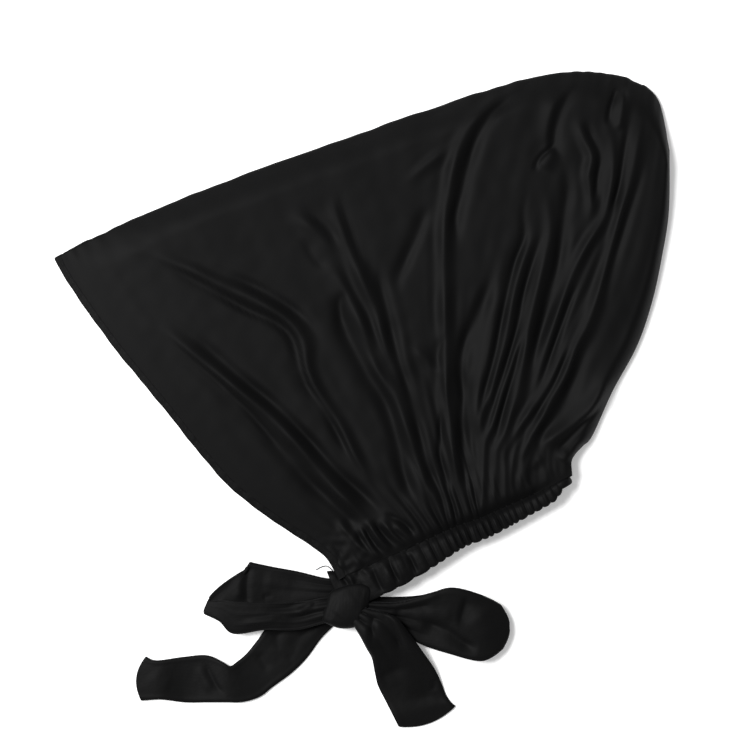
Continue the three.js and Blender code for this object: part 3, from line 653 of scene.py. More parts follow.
def smallWaves(column, row, x, y, rim, inner):
    # ripples all over, a fan of waves that run up from the neck, and puckers along the crown
    kept = np.minimum(inner, rim)
    ripple = waves(x, y, *panel["rippleWaves"]) * panel["ripple"] * kept
    fan = waves(column * panel["stretch"], row * panel["fanLong"], *panel["fanWaves"]) * panel["fan"] * kept
    fan *= ramp(row, *panel["fanUp"])
    start, length = panel["fanRearUp"]
    rear = ramp(column, *panel["fanRear"]) * ease((start - row) / length)
    fan *= mix(1, panel["fanRearLess"], rear)
    edge = bell((1 - row) / panel["rimPuckerReach"]) * panel["rimPucker"]
    return ripple, fan, edge * waves(column * panel["stretch"], row * 0, *panel["rimWaves"])


def upperHeight(column, row, x, y):
    # loft under a swelling rim, opened towards the face hem and the casing, plus pleats, folds and waves
    toCrown, toBack = (1 - row) * cap["depth"], (1 - column) * cap["depth"]
    fromNeck = row * cap["depth"]
    rim = swell(toCrown / cloth["rimReach"]) * swell(toBack / cloth["backReach"])
    crown = cloth["seamTop"] + cloth["loft"] * rim
    face = faceHeight(row) + hem["thick"] / 2 + panel["hemLift"]
    neck = casingMiddle + casingStep + cloth["wall"] / 2 - knotDip(column)
    base = mix(mix(face, crown, ease(column / panel["hemEnd"])), neck, 1 - ease(row / panel["neckEnd"]))
    inner = ease(column / panel["foldsStart"]) * ease(row / ramp(column, *panel["foldsNeck"]))
    fullness = ease(fromNeck / panel["seamFade"]) * ramp(column, *panel["fullAtKnot"]) * rim
    folds = foldField(x, y, foldRows) * np.minimum(inner, swell(rim * panel["rimFull"]))
    ripple, fan, puckers = smallWaves(column, row, x, y, rim, inner)
    loose = folds + ripple + fan + puckers + crumpled(x, y, fromPhoto(crumple["panelSpot"]))
    gathers = pleats(column, fromNeck) * mix(panel["leastPleats"], 1, fullness)
    return base + gathers + seamValley(column, fromNeck) + loose


def rimRounding(column, row):
    # a quarter circle at the crown and back edges, where the two panels are sewn together
    toCrown, toBack = (1 - row) * cap["depth"], (1 - column) * cap["depth"]
    near = np.clip(1 - np.minimum(toCrown, toBack) / panel["rimRound"], 0, 1)
    return panel["rimDrop"] * (1 - np.sqrt(1 - near**2))


def panelGrid(look, lap):
    # even steps with a few short ones before the rounded rim, and the plan with its crown edge let in and
    # out a little, as a puckered seam
    rim = 1 - np.array(panel["rimSteps"]) * mm / cap["depth"]
    columns = np.concatenate([np.linspace(0, rim[0], look["columns"], endpoint=False), rim])
    rows = np.concatenate([np.linspace(0, rim[0], look["rows"], endpoint=False), rim])
    plan = hoodPlan(columns, rows, lap)
    gridColumn, gridRow = np.meshgrid(columns, rows)
    wander = waves(gridColumn * panel["stretch"], gridColumn * 0, *panel["wanderWaves"])
    plan[..., 1] += wander * bell((1 - gridRow) / panel["wanderReach"]) * panel["edgeWander"]
    grain = math.radians(panel["grain"])
    turned = np.array([[math.cos(grain), -math.sin(grain)], [math.sin(grain), math.cos(grain)]])
    return gridColumn, gridRow, plan, np.tile(plan.reshape(-1, 2) @ turned, (2, 1))


gridColumn, gridRow, plan, uv = panelGrid(panel, panel["lap"])
top = upperHeight(gridColumn, gridRow, plan[..., 0], plan[..., 1])
top -= rimRounding(gridColumn, gridRow)
wall = cloth["wall"] * mix(panel["wallShare"], 1, ease(gridColumn / panel["wallStart"]))
bottom = np.maximum(top - wall, panel["lowest"])
points, faces = sheetArrays(np.dstack([plan, top]), np.dstack([plan, bottom]))
leftPanel = meshObject(
    "leftPanelCloth", points, faces, uv, panelMaterial, ["left_side_panel"],
)
print("upper panel done", len(faces), "quads, top", round(float(top.max()) * 1000, 1), "mm")

# The lower side panel, flat on the surface

under = {
    "columns": 150, "rows": 120, "wall": 1.3 * mm, "pleatLift": 1.2 * mm, "reach": 42 * mm, "edgeShare": 0.1,
}


def lowerHeight(column, row):
    # low pleats near the casing, which fade away upwards and towards both edges
    fade = ease(1 - row * cap["depth"] / under["reach"])
    fade = fade * ease(column / under["edgeShare"]) * ease((1 - column) / under["edgeShare"])
    return pleatWave(column) * under["pleatLift"] * fade


gridColumn, gridRow, plan, uv = panelGrid(under, 0)
bottom = lowerHeight(gridColumn, gridRow)
points, faces = sheetArrays(np.dstack([plan, bottom + under["wall"]]), np.dstack([plan, bottom]))
rightPanel = meshObject(
    "rightPanelCloth", points, faces, uv, panelMaterial, ["right_side_panel"],
)
print("lower panel done", len(faces), "quads")


# Face hem and neck casing: bands doubled back on themselves

bandPower = 0.7  # how far the bands' oval is squared off


def doubledBand(shares, planAt, upperZ, lowerZ, width, thick, look, relief, droop=None):
    # out along the upper height, round a half turn, back along the lower: an oval at each step
    steps = look["turnSteps"]
    point, across = planAt(shares)
    upperZ, lowerZ, width = (np.broadcast_to(value, shares.shape) for value in (upperZ, lowerZ, width))

    def outAndBack(values):
        # the values on the way out, the last one all round the half turn, and the values on the way back
        return np.concatenate([values, np.repeat(values[-1:], steps, axis=0), values[::-1]])

    zero = np.zeros(len(shares))
    angle = np.linspace(0, np.pi, steps + 2)[1:-1]
    ahead = -rightOf(across[-1])
    radius, centre = (upperZ[-1] - lowerZ[-1]) / 2, (upperZ[-1] + lowerZ[-1]) / 2
    turnPlan = point[-1:] + np.sin(angle)[:, None] * radius * ahead
    plan = np.concatenate([point, turnPlan, point[::-1]])
    z = np.concatenate([upperZ, centre + np.cos(angle) * radius, lowerZ[::-1]])
    normalPlan = np.concatenate([zero, np.sin(angle), zero])[:, None] * ahead
    normalZ = np.concatenate([zero + 1, np.cos(angle), zero - 1])
    turn = circle(look["stepsAround"], 0.5)
    acrossShare, deepShare = squared(np.cos(turn), bandPower), squared(np.sin(turn), bandPower)
    place = outAndBack(shares)[:, None]
    moreAcross, moreDeep = relief(place, acrossShare, deepShare)
    offAcross = outAndBack(width)[:, None] / 2 * acrossShare + moreAcross
    offDeep = thick / 2 * deepShare + moreDeep
    rings = np.empty((len(z), look["stepsAround"], 3))
    rings[..., :2] = plan[:, None] + offAcross[..., None] * outAndBack(across)[:, None]
    rings[..., :2] += offDeep[..., None] * normalPlan[:, None]
    rings[..., 2] = z[:, None] + offDeep * normalZ[:, None]
    if droop is not None:
        rings[..., 2] += droop(place, acrossShare) * np.maximum(normalZ, 0)[:, None]
    travelled = travel(np.column_stack([plan, z]))[:, None]
    uv = np.dstack([offAcross, np.broadcast_to(travelled, offAcross.shape)])
    return rings, uv.reshape(-1, 2)


hemLook = {
    "waver": [(0.12 * mm, 5.2 * mm, 0), (0.1 * mm, 2.3 * mm, 1)], "slub": 0.06 * mm, "slubLength": 1.6 * mm,
    "thinner": 0.6 * mm, "underPanel": (0.66, 0.16),
    "groove": 0.14 * mm, "grooveAt": -0.12, "grooveWidth": 0.2,
}


def hemPlan(shares):
    # the middle of the band, half its width in from the face edge, short of the peak by the half turn there
    width = hem["width"] + hem["overlap"]
    tip = 1 - hem["tipBack"] / hem["length"]
    middle = faceLine(shares * tip, width / 2)
    across = (faceLine(shares * tip, width) - middle) / (width / 2)
    return middle, across


def hemRelief(share, acrossShare, deepShare):
    # two sines along the band move it sideways; its thickness is a fine sine, less a bell for the groove and
    # less an eased step where the panel comes over it
    length = share * hem["length"]
    uneven = sum(size * np.sin(length / scale + phase) for size, scale, phase in hemLook["waver"])
    thinner = -hemLook["thinner"] * ramp(acrossShare, *hemLook["underPanel"]) * np.sign(deepShare)
    groove = bell((acrossShare - hemLook["grooveAt"]) / hemLook["grooveWidth"])
    groove = -hemLook["groove"] * groove * np.sign(deepShare)
    deep = thinner + groove + hemLook["slub"] * np.sin(length / hemLook["slubLength"])
    return uneven, deep * np.abs(deepShare)


shares = np.linspace(0, 1, hem["stepsAlong"])
rings, uv = doubledBand(
    shares, hemPlan, faceHeight(shares), hem["thick"] / 2 + hem["lift"], hem["width"] + hem["overlap"],
    hem["thick"], hem, hemRelief,
)
points, faces = tubeArrays(rings)
faceHem = meshObject("faceHemBand", points, faces, uv, hemMaterial, ["face_hem"])

# Folds of the casing beside the knot, in the same columns as those of the panel.
casingFolds = [
    ("puffLine", -3.2, 1.3, 1.4, 0.2, 0.2, [(389, 562), (393, 570), (400, 580)]),
    ("puff", 1.4, 5.0, 5.0, 0.2, 0.2, [(404, 556), (402, 566), (406, 576)]),
    ("lineTwo", -3.0, 1.4, 1.5, 0.2, 0.2, [(409, 552), (413, 562), (418, 571)]),
    ("lowPuff", 1.6, 4.0, 4.0, 0.2, 0.2, [(384, 566), (389, 575), (394, 584)]),
    ("lineThree", -3.2, 1.6, 1.6, 0.2, 0.2, [(372, 567), (377, 578), (383, 590)]),
    ("lineFour", -2.8, 2.0, 2.0, 0.2, 0.2, [(352, 576), (359, 583), (366, 592)]),
    ("leadLine", -2.6, 1.6, 1.8, 0.2, 0.2, [(336, 572), (345, 579), (352, 586)]),
    ("ropeOne", 1.8, 1.5, 1.5, 0.2, 0.4, [(378, 558), (386, 567), (391, 577)]),
    ("ropeTwo", 1.5, 1.4, 1.4, 0.2, 0.4, [(362, 565), (369, 574), (374, 584)]),
    ("ropeThree", 1.6, 1.6, 1.6, 0.2, 0.4, [(344, 573), (352, 580), (357, 588)]),
]

gather = {
    "seed": 8, "lean": 0.35, "heights": (0.4, 1.1), "start": 0.2, "sharp": 0.7, "middle": 0.62,
    "height": 2.1 * mm, "small": 0.12, "smallBeats": 2.3, "smallLean": 0.3, "smallMiddle": 0.6, "bulge": 0.35,
    "atKnot": 0.12, "halfway": (0.45, 0.3, 1, 0.5), "atBack": (0.86, 0.1, 1, 0.3),
    "seam": 1.5 * mm, "seamWidth": 0.35, "seamAtKnot": 0.5, "scallop": 1.1 * mm, "scallopAtKnot": 0.3,
    "puffs": [(1.3 * mm, 0.115, 0.03), (-1.3 * mm, 0.165, 0.014), (-1.17 * mm, 0.06, 0.016)],
}


def casingWidth(share):
    # width x puff at the knot x taper towards the back, both eased, x a quarter sine at each end
    width = casing["width"] * ramp(share, 0, casing["puffEnd"], casing["puff"], 1)
    width = width * ramp(share, *casing["taper"], 1, casing["endShare"])
    width = width * mix(casing["leadWidth"], 1, swell((share + casingLead) / casingLead))
    return width * mix(casing["tipWidth"], 1, swell((tipShare - share) / casing["tipReach"]))


def casingPlan(share):
    # the neck line, run on straight past the face hem, moved out by half the casing's width less the tuck
    inside = np.clip(share, nudge, 1 - nudge)
    run = unit(curveAt(neckControls, inside + nudge) - curveAt(neckControls, inside - nudge))
    point = curveAt(neckControls, np.clip(share, 0, 1)) + run * (np.minimum(share, 0) * neckLength)[:, None]
    tuck = casing["tuck"] * ramp(share, *casing["tuckRamp"], casing["tuckShare"], 1)
    return point + rightOf(run) * (casingWidth(share) / 2 - tuck)[:, None], rightOf(run)


def casingRelief(share, acrossShare, deepShare):
    # gathers: height x (a power of the pleat wave, slanted a little, + a smaller one, less their middles);
    # plus a bell for the seam, three bells beside the knot, and scallops on the free edge
    draw = np.random.default_rng(gather["seed"])
    lean = perPleat(share, -0.5, 1, draw) * gather["lean"] / casing["pleats"]
    height = perPleat(share, *gather["heights"], draw)
    gathered = ease(share / gather["start"])
    ridge = pleatWave(share + lean * acrossShare) ** gather["sharp"] - gather["middle"]
    beats = casing["pleats"] * gather["smallBeats"]
    small = np.abs(np.sin(np.pi * beats * (share + gather["smallLean"] * lean))) - gather["smallMiddle"]
    bulge = 1 - gather["bulge"] * np.abs(acrossShare) ** 3
    strength = mix(gather["atKnot"], 1, gathered) * ramp(share, *gather["halfway"])
    strength = strength * ramp(share, *gather["atBack"])
    deep = gather["height"] * height * (ridge + gather["small"] * small) * strength * bulge
    seam = -gather["seam"] * bell((acrossShare + 1) / gather["seamWidth"])
    seam = seam * mix(gather["seamAtKnot"], 1, gathered)
    puffs = sum(rise * bell((share - place) / width) for rise, place, width in gather["puffs"])
    puffs = puffs * (1 - gathered) * bulge
    scallop = gather["scallop"] * ridge * ease((acrossShare + 1) / 2)
    scallop = scallop * mix(gather["scallopAtKnot"], 1, gathered)
    scallop = scallop - casing["leadSpread"] * ease(-share / casingLead) * ease((1 - acrossShare) / 2)
    return scallop, (deep + seam + puffs) * np.sign(deepShare) * np.abs(deepShare) ** 0.5


def casingDroop(share, acrossShare):
    # the band's inner edge goes down to meet the cloth in the seam's valley, and all of it towards the knot
    fade = ramp(share, *casing["droopAtKnot"]) * ramp(share, *casing["droopAtBack"])
    return -casing["droop"] * bell((acrossShare + 1) / casing["droopWidth"]) * fade - knotDip(share)


shares = np.linspace(-casingLead, tipShare, casing["stepsAlong"])
rings, uv = doubledBand(
    shares, casingPlan, casingMiddle + casingStep, casingMiddle, casingWidth(shares),
    casing["thick"] - casing["ovalLess"], casing, casingRelief, casingDroop,
)
folds = foldField(rings[..., 0], rings[..., 1], casingFolds)
folds += crumpled(rings[..., 0], rings[..., 1], fromPhoto(crumple["casingSpot"]))
rings[..., 2] += folds * (rings[..., 2] > casingMiddle + casingStep / 2)
rings[..., 2] = np.maximum(rings[..., 2], casing["lowest"])
points, faces = tubeArrays(rings)
neckCasing = meshObject("neckCasingBand", points, faces, uv, casingMaterial, ["neck_casing"])
print("hem and casing done")

# Stitches of the hem

stitch = {
    "pitch": 2.6 * mm, "length": 1.9 * mm, "radius": 0.17 * mm, "inset": 3.1 * mm, "around": 6, "along": 4,
    "end": 0.985, "sunk": 0.18 * mm, "lowerHeight": 0.5 * mm, "blunt": 0.96, "dip": 0.3 * mm,
}
threadUv = 3  # the knit's cloth coordinates on a thread, as a multiple of the place


def stitchRow(count, upper):
    # small capsules laid end to end along the hem: circles whose radius follows a half circle over the stitch
    share = (np.arange(count) + 0.5) / count * stitch["end"]
    centre = faceLine(share, stitch["inset"])
    ahead = faceLine(np.minimum(share + nudge, 1), stitch["inset"])
    run = unit(ahead - faceLine(share - nudge, stitch["inset"]))
    z = np.full(count, stitch["lowerHeight"])
    if upper:
        z = faceHeight(share) + hem["thick"] / 2 - stitch["sunk"]
    t = np.linspace(-1, 1, stitch["along"])
    radius = (np.sqrt(np.clip(1 - t**2 * stitch["blunt"], 0, 1)) * stitch["radius"])[:, None]
    turn = circle(stitch["around"])
    grid = np.zeros((count, stitch["along"], stitch["around"], 3))
    lengthwise = (t * stitch["length"] / 2)[:, None, None] * run[:, None, None]
    sideways = (radius * np.cos(turn))[..., None] * rightOf(run)[:, None, None]
    grid[..., :2] = centre[:, None, None] + lengthwise + sideways
    grid[..., 2] = z[:, None, None] + radius * np.sin(turn) - (t**2 * stitch["dip"])[:, None]
    return grid


def joinedRings(grid):
    # many short tubes in one mesh: the first one's faces, repeated with each tube's first point added
    count, along, around = grid.shape[:3]
    first = np.arange(count)[:, None, None] * along * around
    return grid.reshape(-1, 3), (tubeArrays(grid[0])[1][None] + first).reshape(-1, 4)


stitchCount = int(hem["length"] / stitch["pitch"])
points, faces = joinedRings(np.concatenate([stitchRow(stitchCount, True), stitchRow(stitchCount, False)]))
stitches = meshObject("hemStitches", points, faces, points[:, :2] * threadUv, threadMaterial)
print("stitches done", stitchCount)

# A loose thread end beside the bow, a thin tube along a short curve that comes down to the surface

thread = {
    "radius": 0.28 * mm, "height": 1.2 * mm, "steps": 24, "around": 8,
    "path": [(333, 571), (327, 566), (321, 567), (316, 570)],
}
line = evenCurve(fromPhoto(thread["path"]), np.linspace(0, 1, thread["steps"]))
sideways = rightOf(unit(np.gradient(line, axis=0)))
turn = circle(thread["around"])
rings = np.empty((thread["steps"], thread["around"], 3))
rings[..., :2] = line[:, None] + thread["radius"] * np.cos(turn)[:, None] * sideways[:, None]
height = np.linspace(thread["height"], 0, thread["steps"])[:, None]
rings[..., 2] = height + thread["radius"] * (1 + np.sin(turn))
points, faces = tubeArrays(rings)
threadEnd = meshObject("threadEnd", points, faces, points[:, :2] * threadUv, threadMaterial)

# The bow

# A row for each section from the knot outwards: out and up are shares of the reach, wide of the tie's width,
# turn degrees, lift and tilt shares of the tie's lift, bulge a share of the reach.
rowNames = ("out", "up", "wide", "turn", "lift", "tilt", "bulge")
leftLoopRows = [
    (0.06, 0.1, 0.38, 90, 0.36, 0, 0), (0.17, 0.1, 0.43, 90, 0.4, 0, 0),
    (0.35, 0.114, 0.56, 90, 0.38, 0, 0), (0.53, 0.13, 0.63, 92, 0.34, 0, 0),
    (0.67, 0.146, 0.68, 98, 0.36, 0, 0), (0.76, 0.138, 0.8, 114, 0.38, 0, 0),
    (0.83, 0.105, 0.9, 128, 0.38, 0, 0), (0.99, 0, 0.28, 108, 0.36, 0, 0),
    (0.885, -0.035, 0.34, 102, 0.5, 0, 0), (0.78, -0.086, 0.5, 100, 0.54, 0, 0),
    (0.571, -0.075, 0.42, 93, 0.54, 0, 0), (0.35, -0.071, 0.43, 90, 0.52, 0, 0),
    (0.17, -0.032, 0.4, 90, 0.54, 0, 0), (0.06, -0.02, 0.36, 90, 0.54, 0, 0),
]
rightLoopRows = [
    (0.1, -0.02, 0.22, 90, 0.46, 0, 0), (0.3, -0.06, 0.42, 90, 0.46, 0.22, 0),
    (0.455, -0.09, 0.74, 90, 0.5, 0.3, 0), (0.63, -0.09, 1.03, 90, 0.6, 0.1, 0),
    (0.81, -0.13, 1.05, 94, 0.54, 0, 0.03), (0.93, -0.13, 0.74, 92, 0.33, 0, 0.065),
    (0.81, -0.127, 0.98, 92, 0.13, 0, 0.03), (0.61, -0.085, 0.9, 90, 0.12, 0, 0),
    (0.45, -0.05, 0.55, 90, 0.13, 0, 0), (0.29, -0.015, 0.32, 90, 0.2, 0, 0),
    (0.1, 0.01, 0.22, 90, 0.34, 0, 0),
]
leftTailRows = [
    (0.04, -0.02, 0.3, 38, 0, 0, 0), (0.18, -0.1, 0.56, 36, 0, 0, 0), (0.277, -0.177, 0.77, 36, 0, 0, 0),
    (0.336, -0.242, 0.74, 41, 0, 0, 0), (0.408, -0.308, 0.66, 51, 0.02, 0, 0),
    (0.464, -0.352, 0.65, 57, 0.07, 0, 0), (0.522, -0.374, 0.59, 71, 0.13, 0, 0),
    (0.575, -0.364, 0.63, 84, 0.14, 0, 0), (0.66, -0.35, 0.73, 89, 0.05, 0, 0),
    (0.767, -0.355, 0.71, 88, 0, 0, 0), (0.89, -0.355, 0.61, 84, 0.08, 0, 0),
    (0.96, -0.35, 0.69, 96, 0, 0, 0.035),
]
rightTailRows = [
    (0.08, -0.05, 0.3, 30, 0.7, 0, 0), (0.22, -0.14, 0.6, 28, 0.8, 0, 0),
    (0.296, -0.245, 0.69, 18, 0.68, 0, 0), (0.365, -0.35, 0.78, 8, 0.46, 0, 0),
    (0.422, -0.476, 0.92, 5, 0.2, 0, 0), (0.46, -0.58, 0.98, 3, 0.05, 0, 0),
    (0.505, -0.68, 0.94, 6, 0, 0, 0), (0.55, -0.76, 0.92, 13, 0.04, 0, 0),
    (0.587, -0.813, 0.94, 20, 0, 0, 0.055),
]

tie = {
    "width": 40 * mm, "wall": 1.7 * mm, "lift": 16 * mm, "tilt": 0.5, "across": 30,
    "edge": 0.12, "edgePower": 7, "upperLowest": 0.15 * mm, "lowerLowest": 0.05 * mm, "spanFade": 0.05,
    "rim": 0.35 * mm, "rimAt": 0.88, "rimWidth": 0.09,
    "sharp": 0.8, "middle": 0.55, "fall": 1.5, "curlBeats": 5,
}


def tieRelief(q, travelled, look):
    # ridges: height x (a power of a sine across, less its middle) x a fall with the distance from the knot or
    # from the far end; plus a bell near each edge, and a slow sine along the band
    total = 0
    for fromKnot, curl, reach, count, height, phase in look["creases"]:
        away = travelled if fromKnot else travelled.max() - travelled
        bent = q + curl * np.sin(tie["curlBeats"] * q)
        wave = np.abs(np.sin(np.pi * (count * bent / 2 + phase))) ** tie["sharp"] - tie["middle"]
        total = total + height * wave * np.exp(-((away / reach) ** tie["fall"]))
    rim = tie["rim"] * bell((np.abs(q) - tie["rimAt"]) / tie["rimWidth"])
    height, length, slant = look["roll"]
    return total + rim + height * np.sin(travelled / length + slant * q)


def normals(grid):
    # at right angles to both directions of a grid of points
    n = np.cross(np.gradient(grid, axis=0), np.gradient(grid, axis=1))
    return n / np.maximum(np.linalg.norm(n, axis=-1, keepdims=True), 1e-12)


def ribbonGrids(look):
    # sections of a band along a smooth curve through the rows: a straight width, pushed out by the bulge,
    # with a relief on top, and the other face one wall away along the surface's normal, thinner at both edges
    reach, side, steps = look["reach"], look["side"], look["steps"]
    share = np.linspace(0, 1, steps)
    section = dict(zip(rowNames, curveAt(np.array(look["rows"], float), share).T[..., None]))
    q = np.sin(np.linspace(-1, 1, tie["across"]) * np.pi / 2)
    angle = np.radians(section["turn"])
    half = q * section["wide"] * tie["width"] / 2
    push = section["bulge"] * reach * (1 - q * q)
    middle = np.empty((steps, tie["across"], 3))
    cosine, sine = np.cos(angle), np.sin(angle)
    middle[..., 0] = knotPoint[0] + side * (section["out"] * reach + half * cosine + push * sine)
    middle[..., 1] = knotPoint[1] + section["up"] * reach + half * sine - push * cosine
    lifted = section["lift"] + section["tilt"] * q * tie["tilt"]
    middle[..., 2] = tie["wall"] / 2 + lifted * tie["lift"]
    travelled = travel(middle[:, tie["across"] // 2])[:, None]
    raised = tieRelief(q[None, :], travelled, look)
    for table, start, end in look["folds"]:
        span = ease((share - start) / tie["spanFade"]) * ease((end - share) / tie["spanFade"])
        raised += foldField(middle[..., 0], middle[..., 1], table) * span[:, None]
    first = normals(middle)
    sign = 1 if first[steps // 8, tie["across"] // 2, 2] > 0 else -1
    middle = middle + first * (raised * sign)[..., None]
    thickness = tie["wall"] / 2 * np.clip(1 - np.abs(q) ** tie["edgePower"], tie["edge"], 1) ** 0.5
    face = normals(middle) * sign * thickness[:, None]
    upper, lower = middle + face, middle - face
    upper[..., 2] = np.maximum(upper[..., 2], tie["upperLowest"])
    lower[..., 2] = np.maximum(lower[..., 2], tie["lowerLowest"])
    uv = np.dstack([half, np.broadcast_to(travelled, half.shape)])
    return upper, lower, np.tile(uv.reshape(-1, 2), (2, 1))


# Folds of the ties, in the same columns as those of the panel.
leftLoopFolds = [
    ("endHollow", -1.6, 2.2, 3.2, 0.1, 0.15, [(251, 565), (247, 582), (248, 604)]),
    ("endRidge", 1.0, 2.0, 2.0, 0.2, 0.2, [(243, 570), (240, 584), (240, 598)]),
    ("topPlateau", 0.9, 5.0, 5.0, 0.3, 0.3, [(262, 580), (278, 582), (296, 586)]),
    ("smallHollow", -1.0, 1.6, 1.6, 0.3, 0.3, [(262, 597), (268, 595), (274, 593)]),
]
leftFrontFolds = [
    ("lowHollow", -1.5, 1.8, 2.0, 0.3, 0.3, [(240, 621.5), (265, 619), (284, 614.5)]),
    ("pinchHollow", -2.4, 1.6, 1.6, 0.3, 0.3, [(296, 612), (305, 607), (315, 601)]),
    ("upperHollow", -1.6, 1.4, 1.6, 0.3, 0.2, [(294, 600), (312, 593), (328, 587)]),
    ("frontRidge", 1.4, 1.8, 1.8, 0.3, 0.2, [(262, 609), (284, 607), (300, 601), (326, 592)]),
    ("lowRidge", 1.0, 2.0, 2.0, 0.3, 0.3, [(280, 622), (300, 617), (322, 607)]),
]
rightLoopFolds = [
    ("stripHollow", -2.0, 1.3, 2.2, 0.2, 0.3, [(394, 609), (404, 606.5), (418, 604.5), (433, 601.5)]),
    ("strip", 0.9, 1.8, 1.5, 0.2, 0.3, [(392, 603), (410, 599.5), (428, 595), (442, 591)]),
    ("longCrease", -4.4, 2.0, 4.5, 0.2, 0.25, [
        (420, 621), (434, 624), (447, 628.6), (461, 638.6), (479, 649)]),
    ("crossCrease", -4.0, 6.0, 2.0, 0.3, 0.3, [(468, 595), (463, 606), (458.6, 624)]),
    ("between", 0.9, 4.0, 3.0, 0.3, 0.3, [(425, 607), (440, 611), (452, 618)]),
    ("outerPuff", 1.2, 5.0, 5.0, 0.3, 0.3, [(474, 608), (485, 622), (490, 638)]),
    ("nearHollow", -1.6, 2.2, 2.8, 0.2, 0.4, [(392, 611), (404, 613), (420, 616)]),
]
leftTailFolds = [
    ("crease", -1.5, 1.8, 2.4, 0.25, 0.3, [(204, 661), (210, 673), (218, 687), (228, 694)]),
    ("creaseRidge", 1.0, 2.4, 1.8, 0.3, 0.3, [(198, 664), (204, 678), (212, 692)]),
    ("cornerHollow", -1.2, 3.0, 3.2, 0.3, 0.3, [(258, 650), (264, 662), (272, 670)]),
    ("underLoop", -1.3, 3.0, 3.0, 0.2, 0.3, [(276, 630), (278, 642), (276, 652)]),
    ("outerHollow", -0.9, 2.0, 2.2, 0.3, 0.3, [(298, 640), (294, 652), (286, 662)]),
    ("endPuff", 0.7, 5.0, 5.0, 0.3, 0.3, [(150, 672), (160, 682), (172, 688)]),
]
rightTailFolds = [
    ("edgeRidge", 2.0, 1.7, 1.7, 0.15, 0.3, [(374, 605), (389, 611), (401, 628), (410, 643), (418, 655)]),
    ("groove", -1.8, 1.8, 2.2, 0.2, 0.3, [(380, 610), (391, 621), (398, 636), (402, 650)]),
    ("leftHollow", -2.2, 1.7, 2.2, 0.2, 0.4, [(374, 612), (372, 628), (371, 646)]),
    ("leftRidge", 1.2, 1.6, 1.8, 0.2, 0.4, [(366, 620), (368, 640), (374, 658)]),
    ("dip", -2.6, 3.6, 4.6, 0.3, 0.4, [(376, 680), (386, 673), (396, 668), (407, 658)]),
    ("middleHollow", -1.4, 3.2, 3.2, 0.3, 0.3, [(394, 632), (398, 648), (401, 664)]),
    ("sideCrease", -0.9, 1.3, 1.5, 0.3, 0.3, [(434, 676), (434.5, 684), (432, 692)]),
    ("endHollow", -0.8, 4.0, 3.4, 0.3, 0.3, [(404, 694), (420, 697), (434, 690)]),
    ("endPuff", 0.8, 5.0, 5.0, 0.3, 0.3, [(400, 684), (412, 682), (424, 678)]),
]

# Creases: from the knot or not, curl, reach, how many, height, phase. Roll: height, length, slant. Folds: a
# table with the shares of the band where it starts and ends.
leftLoopLook = {
    "rows": leftLoopRows, "reach": 87 * mm, "side": -1, "steps": 280, "roll": (0.3 * mm, 7 * mm, 2),
    "creases": [(True, 0.08, 30 * mm, 3, 1.2 * mm, 0.2), (False, 0, 40 * mm, 3, 2.0 * mm, 0.6)],
    "folds": [(leftLoopFolds, -0.1, 0.54), (leftFrontFolds, 0.58, 1.1)],
}
rightLoopLook = {
    "rows": rightLoopRows, "reach": 101 * mm, "side": 1, "steps": 280, "roll": (0.35 * mm, 9 * mm, 1.5),
    "creases": [(True, 0, 34 * mm, 4, 2.2 * mm, 0.1), (False, 0, 30 * mm, 3, 1.6 * mm, 0.4)],
    "folds": [(rightLoopFolds, -0.1, 0.52)],
}
leftTailLook = {
    "rows": leftTailRows, "reach": 131 * mm, "side": -1, "steps": 220, "roll": (0.25 * mm, 6 * mm, 1),
    "creases": [(True, 0, 30 * mm, 3, 1.4 * mm, 0.3)], "folds": [(leftTailFolds, -0.1, 1.1)],
}
rightTailLook = {
    "rows": rightTailRows, "reach": 85 * mm, "side": 1, "steps": 160, "roll": (0.3 * mm, 8 * mm, 2),
    "creases": [(True, 0, 34 * mm, 3, 1.8 * mm, 0.5)], "folds": [(rightTailFolds, -0.1, 1.1)],
}


def ribbon(name, look, node):
    # one tie: its upper and lower grids joined into a sheet
    upper, lower, uv = ribbonGrids(look)
    points, faces = sheetArrays(upper, lower)
    return meshObject(name, points, faces, uv, tieMaterial, [node])


leftLoop = ribbon("leftLoopRibbon", leftLoopLook, "bow_loop_left")
rightLoop = ribbon("rightLoopRibbon", rightLoopLook, "bow_loop_right")
leftTail = ribbon("leftTailRibbon", leftTailLook, "tie_tail_left")
rightTail = ribbon("rightTailRibbon", rightTailLook, "tie_tail_right")
print("ribbons done")

knot = {
    "length": 26 * mm, "depth": 28 * mm, "height": 12.2 * mm, "bottom": 2.1 * mm, "around": 120, "along": 90,
    "square": 0.64, "lean": 0.3, "uvTurn": 11 * mm,
    "slub": 0.25 * mm, "slubBeats": (9, 2), "slubRamp": (0.1, 0.3),
}
# Sections along the knot: place, and shares of its depth and of its height
knotRows = [
    (-0.5, 0.5, 0.4), (-0.42, 0.7, 0.68), (-0.22, 0.88, 0.93), (0.02, 1, 1), (0.26, 0.98, 1),
    (0.43, 0.86, 0.84), (0.5, 0.58, 0.5),
]
knotFolds = [
    ("rightLine", -1.1, 1.2, 1.4, 0.2, 0.2, [(368, 586), (367, 597), (364, 610), (359, 622)]),
    ("topHollow", -1.2, 3.0, 3.0, 0.2, 0.2, [(334, 597), (343, 593), (354, 590), (368, 590)]),
    ("leftLine", -0.9, 1.6, 1.8, 0.2, 0.2, [(338, 594), (333, 606), (329, 620)]),
    ("face", 0.8, 5.0, 5.0, 0.2, 0.2, [(338, 616), (347, 606), (358, 598)]),
]


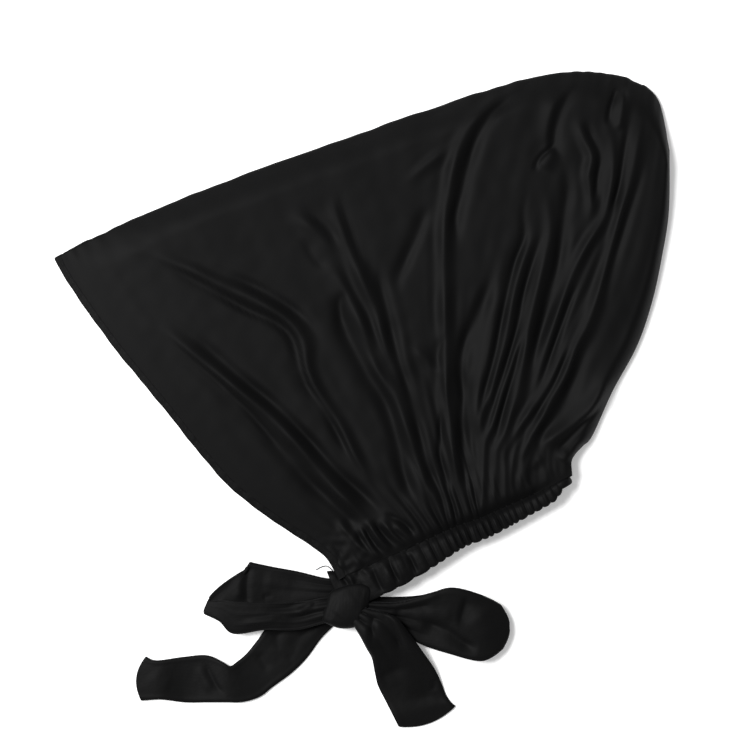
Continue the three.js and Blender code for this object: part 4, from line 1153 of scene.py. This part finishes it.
def knotRings():
    # rings round the bow's axis through the rows, squared off, leaning to the right at the top
    section = curveAt(np.array(knotRows), np.linspace(0, 1, knot["along"]))
    at, deep, tall = section.T[..., None]
    turn = circle(knot["around"])
    north, high = squared(np.cos(turn), knot["square"]), squared(np.sin(turn), knot["square"])
    beatsAlong, beatsAround = knot["slubBeats"]
    more = knot["slub"] * np.sin(beatsAlong * at + beatsAround * turn) * ramp(np.abs(at), *knot["slubRamp"])
    rings = np.empty((knot["along"], knot["around"], 3))
    rings[..., 1] = knotPoint[1] + north * (deep * knot["depth"] / 2 + more)
    rings[..., 0] = knotPoint[0] + at * knot["length"] + (rings[..., 1] - knotPoint[1]) * knot["lean"]
    folds = foldField(rings[..., 0], rings[..., 1], knotFolds) * ease(high * 2)
    rings[..., 2] = knot["bottom"] + knot["height"] / 2 + high * (tall * knot["height"] / 2 + more) + folds
    uv = np.dstack([rings[..., 0], np.broadcast_to(turn * knot["uvTurn"], rings.shape[:2])])
    return rings, uv.reshape(-1, 2)


rings, uv = knotRings()
points, faces = tubeArrays(rings)
knotPiece = meshObject("tieKnotWrap", points, faces, uv, tieMaterial, ["tie_knot"])
print("knot done")

# Floor, light and camera

stage = {
    "side": 3.0, "floor": (0.93, 0.93, 0.93), "glow": 0.2, "ambient": 0.42,
    "keyPower": 170.0, "keySize": 1.6, "keyPlace": (-1.75, 0.7, 2.7), "lens": 120, "sensor": 36,
}


halfSide = stage["side"] / 2
floorMesh = bpy.data.meshes.new("floor")
floorMesh.from_pydata(
    [(-halfSide, -halfSide, 0), (halfSide, -halfSide, 0), (halfSide, halfSide, 0), (-halfSide, halfSide, 0)],
    [], [(0, 1, 2, 3)],
)
floorMaterial = bpy.data.materials.new("paleFloor")
floorMaterial.use_nodes = True
setInputs(floorMaterial.node_tree.nodes["Principled BSDF"], {
    "Base Color": (*stage["floor"], 1), "Roughness": 0.9, "Specular IOR Level": 0.1,
    "Emission Color": (1, 1, 1, 1), "Emission Strength": stage["glow"],
})
floorMesh.materials.append(floorMaterial)
inScene("floor", floorMesh)

world = bpy.data.worlds.new("softRoom")
world.use_nodes = True
setInputs(world.node_tree.nodes["Background"], {"Color": (1, 1, 1, 1), "Strength": stage["ambient"]})
bpy.context.scene.world = world

key = bpy.data.lights.new("key", "AREA")
key.energy = stage["keyPower"]
key.shape = "DISK"
key.size = stage["keySize"]
keyObject = inScene("key", key, stage["keyPlace"])
keyObject.rotation_euler = (-Vector(stage["keyPlace"])).to_track_quat("-Z", "Y").to_euler()

# The camera looks straight down on the picture's middle, from where the picture's width fills its sensor
imageWidth = photo["side"] * photo["metresPerPixel"]
aim = fromPhoto((photo["side"] / 2, photo["side"] / 2))
camera = bpy.data.cameras.new("camera")
camera.lens = stage["lens"]
camera.sensor_width = stage["sensor"]
height = imageWidth * stage["lens"] / stage["sensor"]
bpy.context.scene.camera = inScene("camera", camera, (aim[0], aim[1], height))
bpy.context.scene.view_settings.view_transform = "Standard"
bpy.context.scene.view_settings.look = "None"
print("stage done")
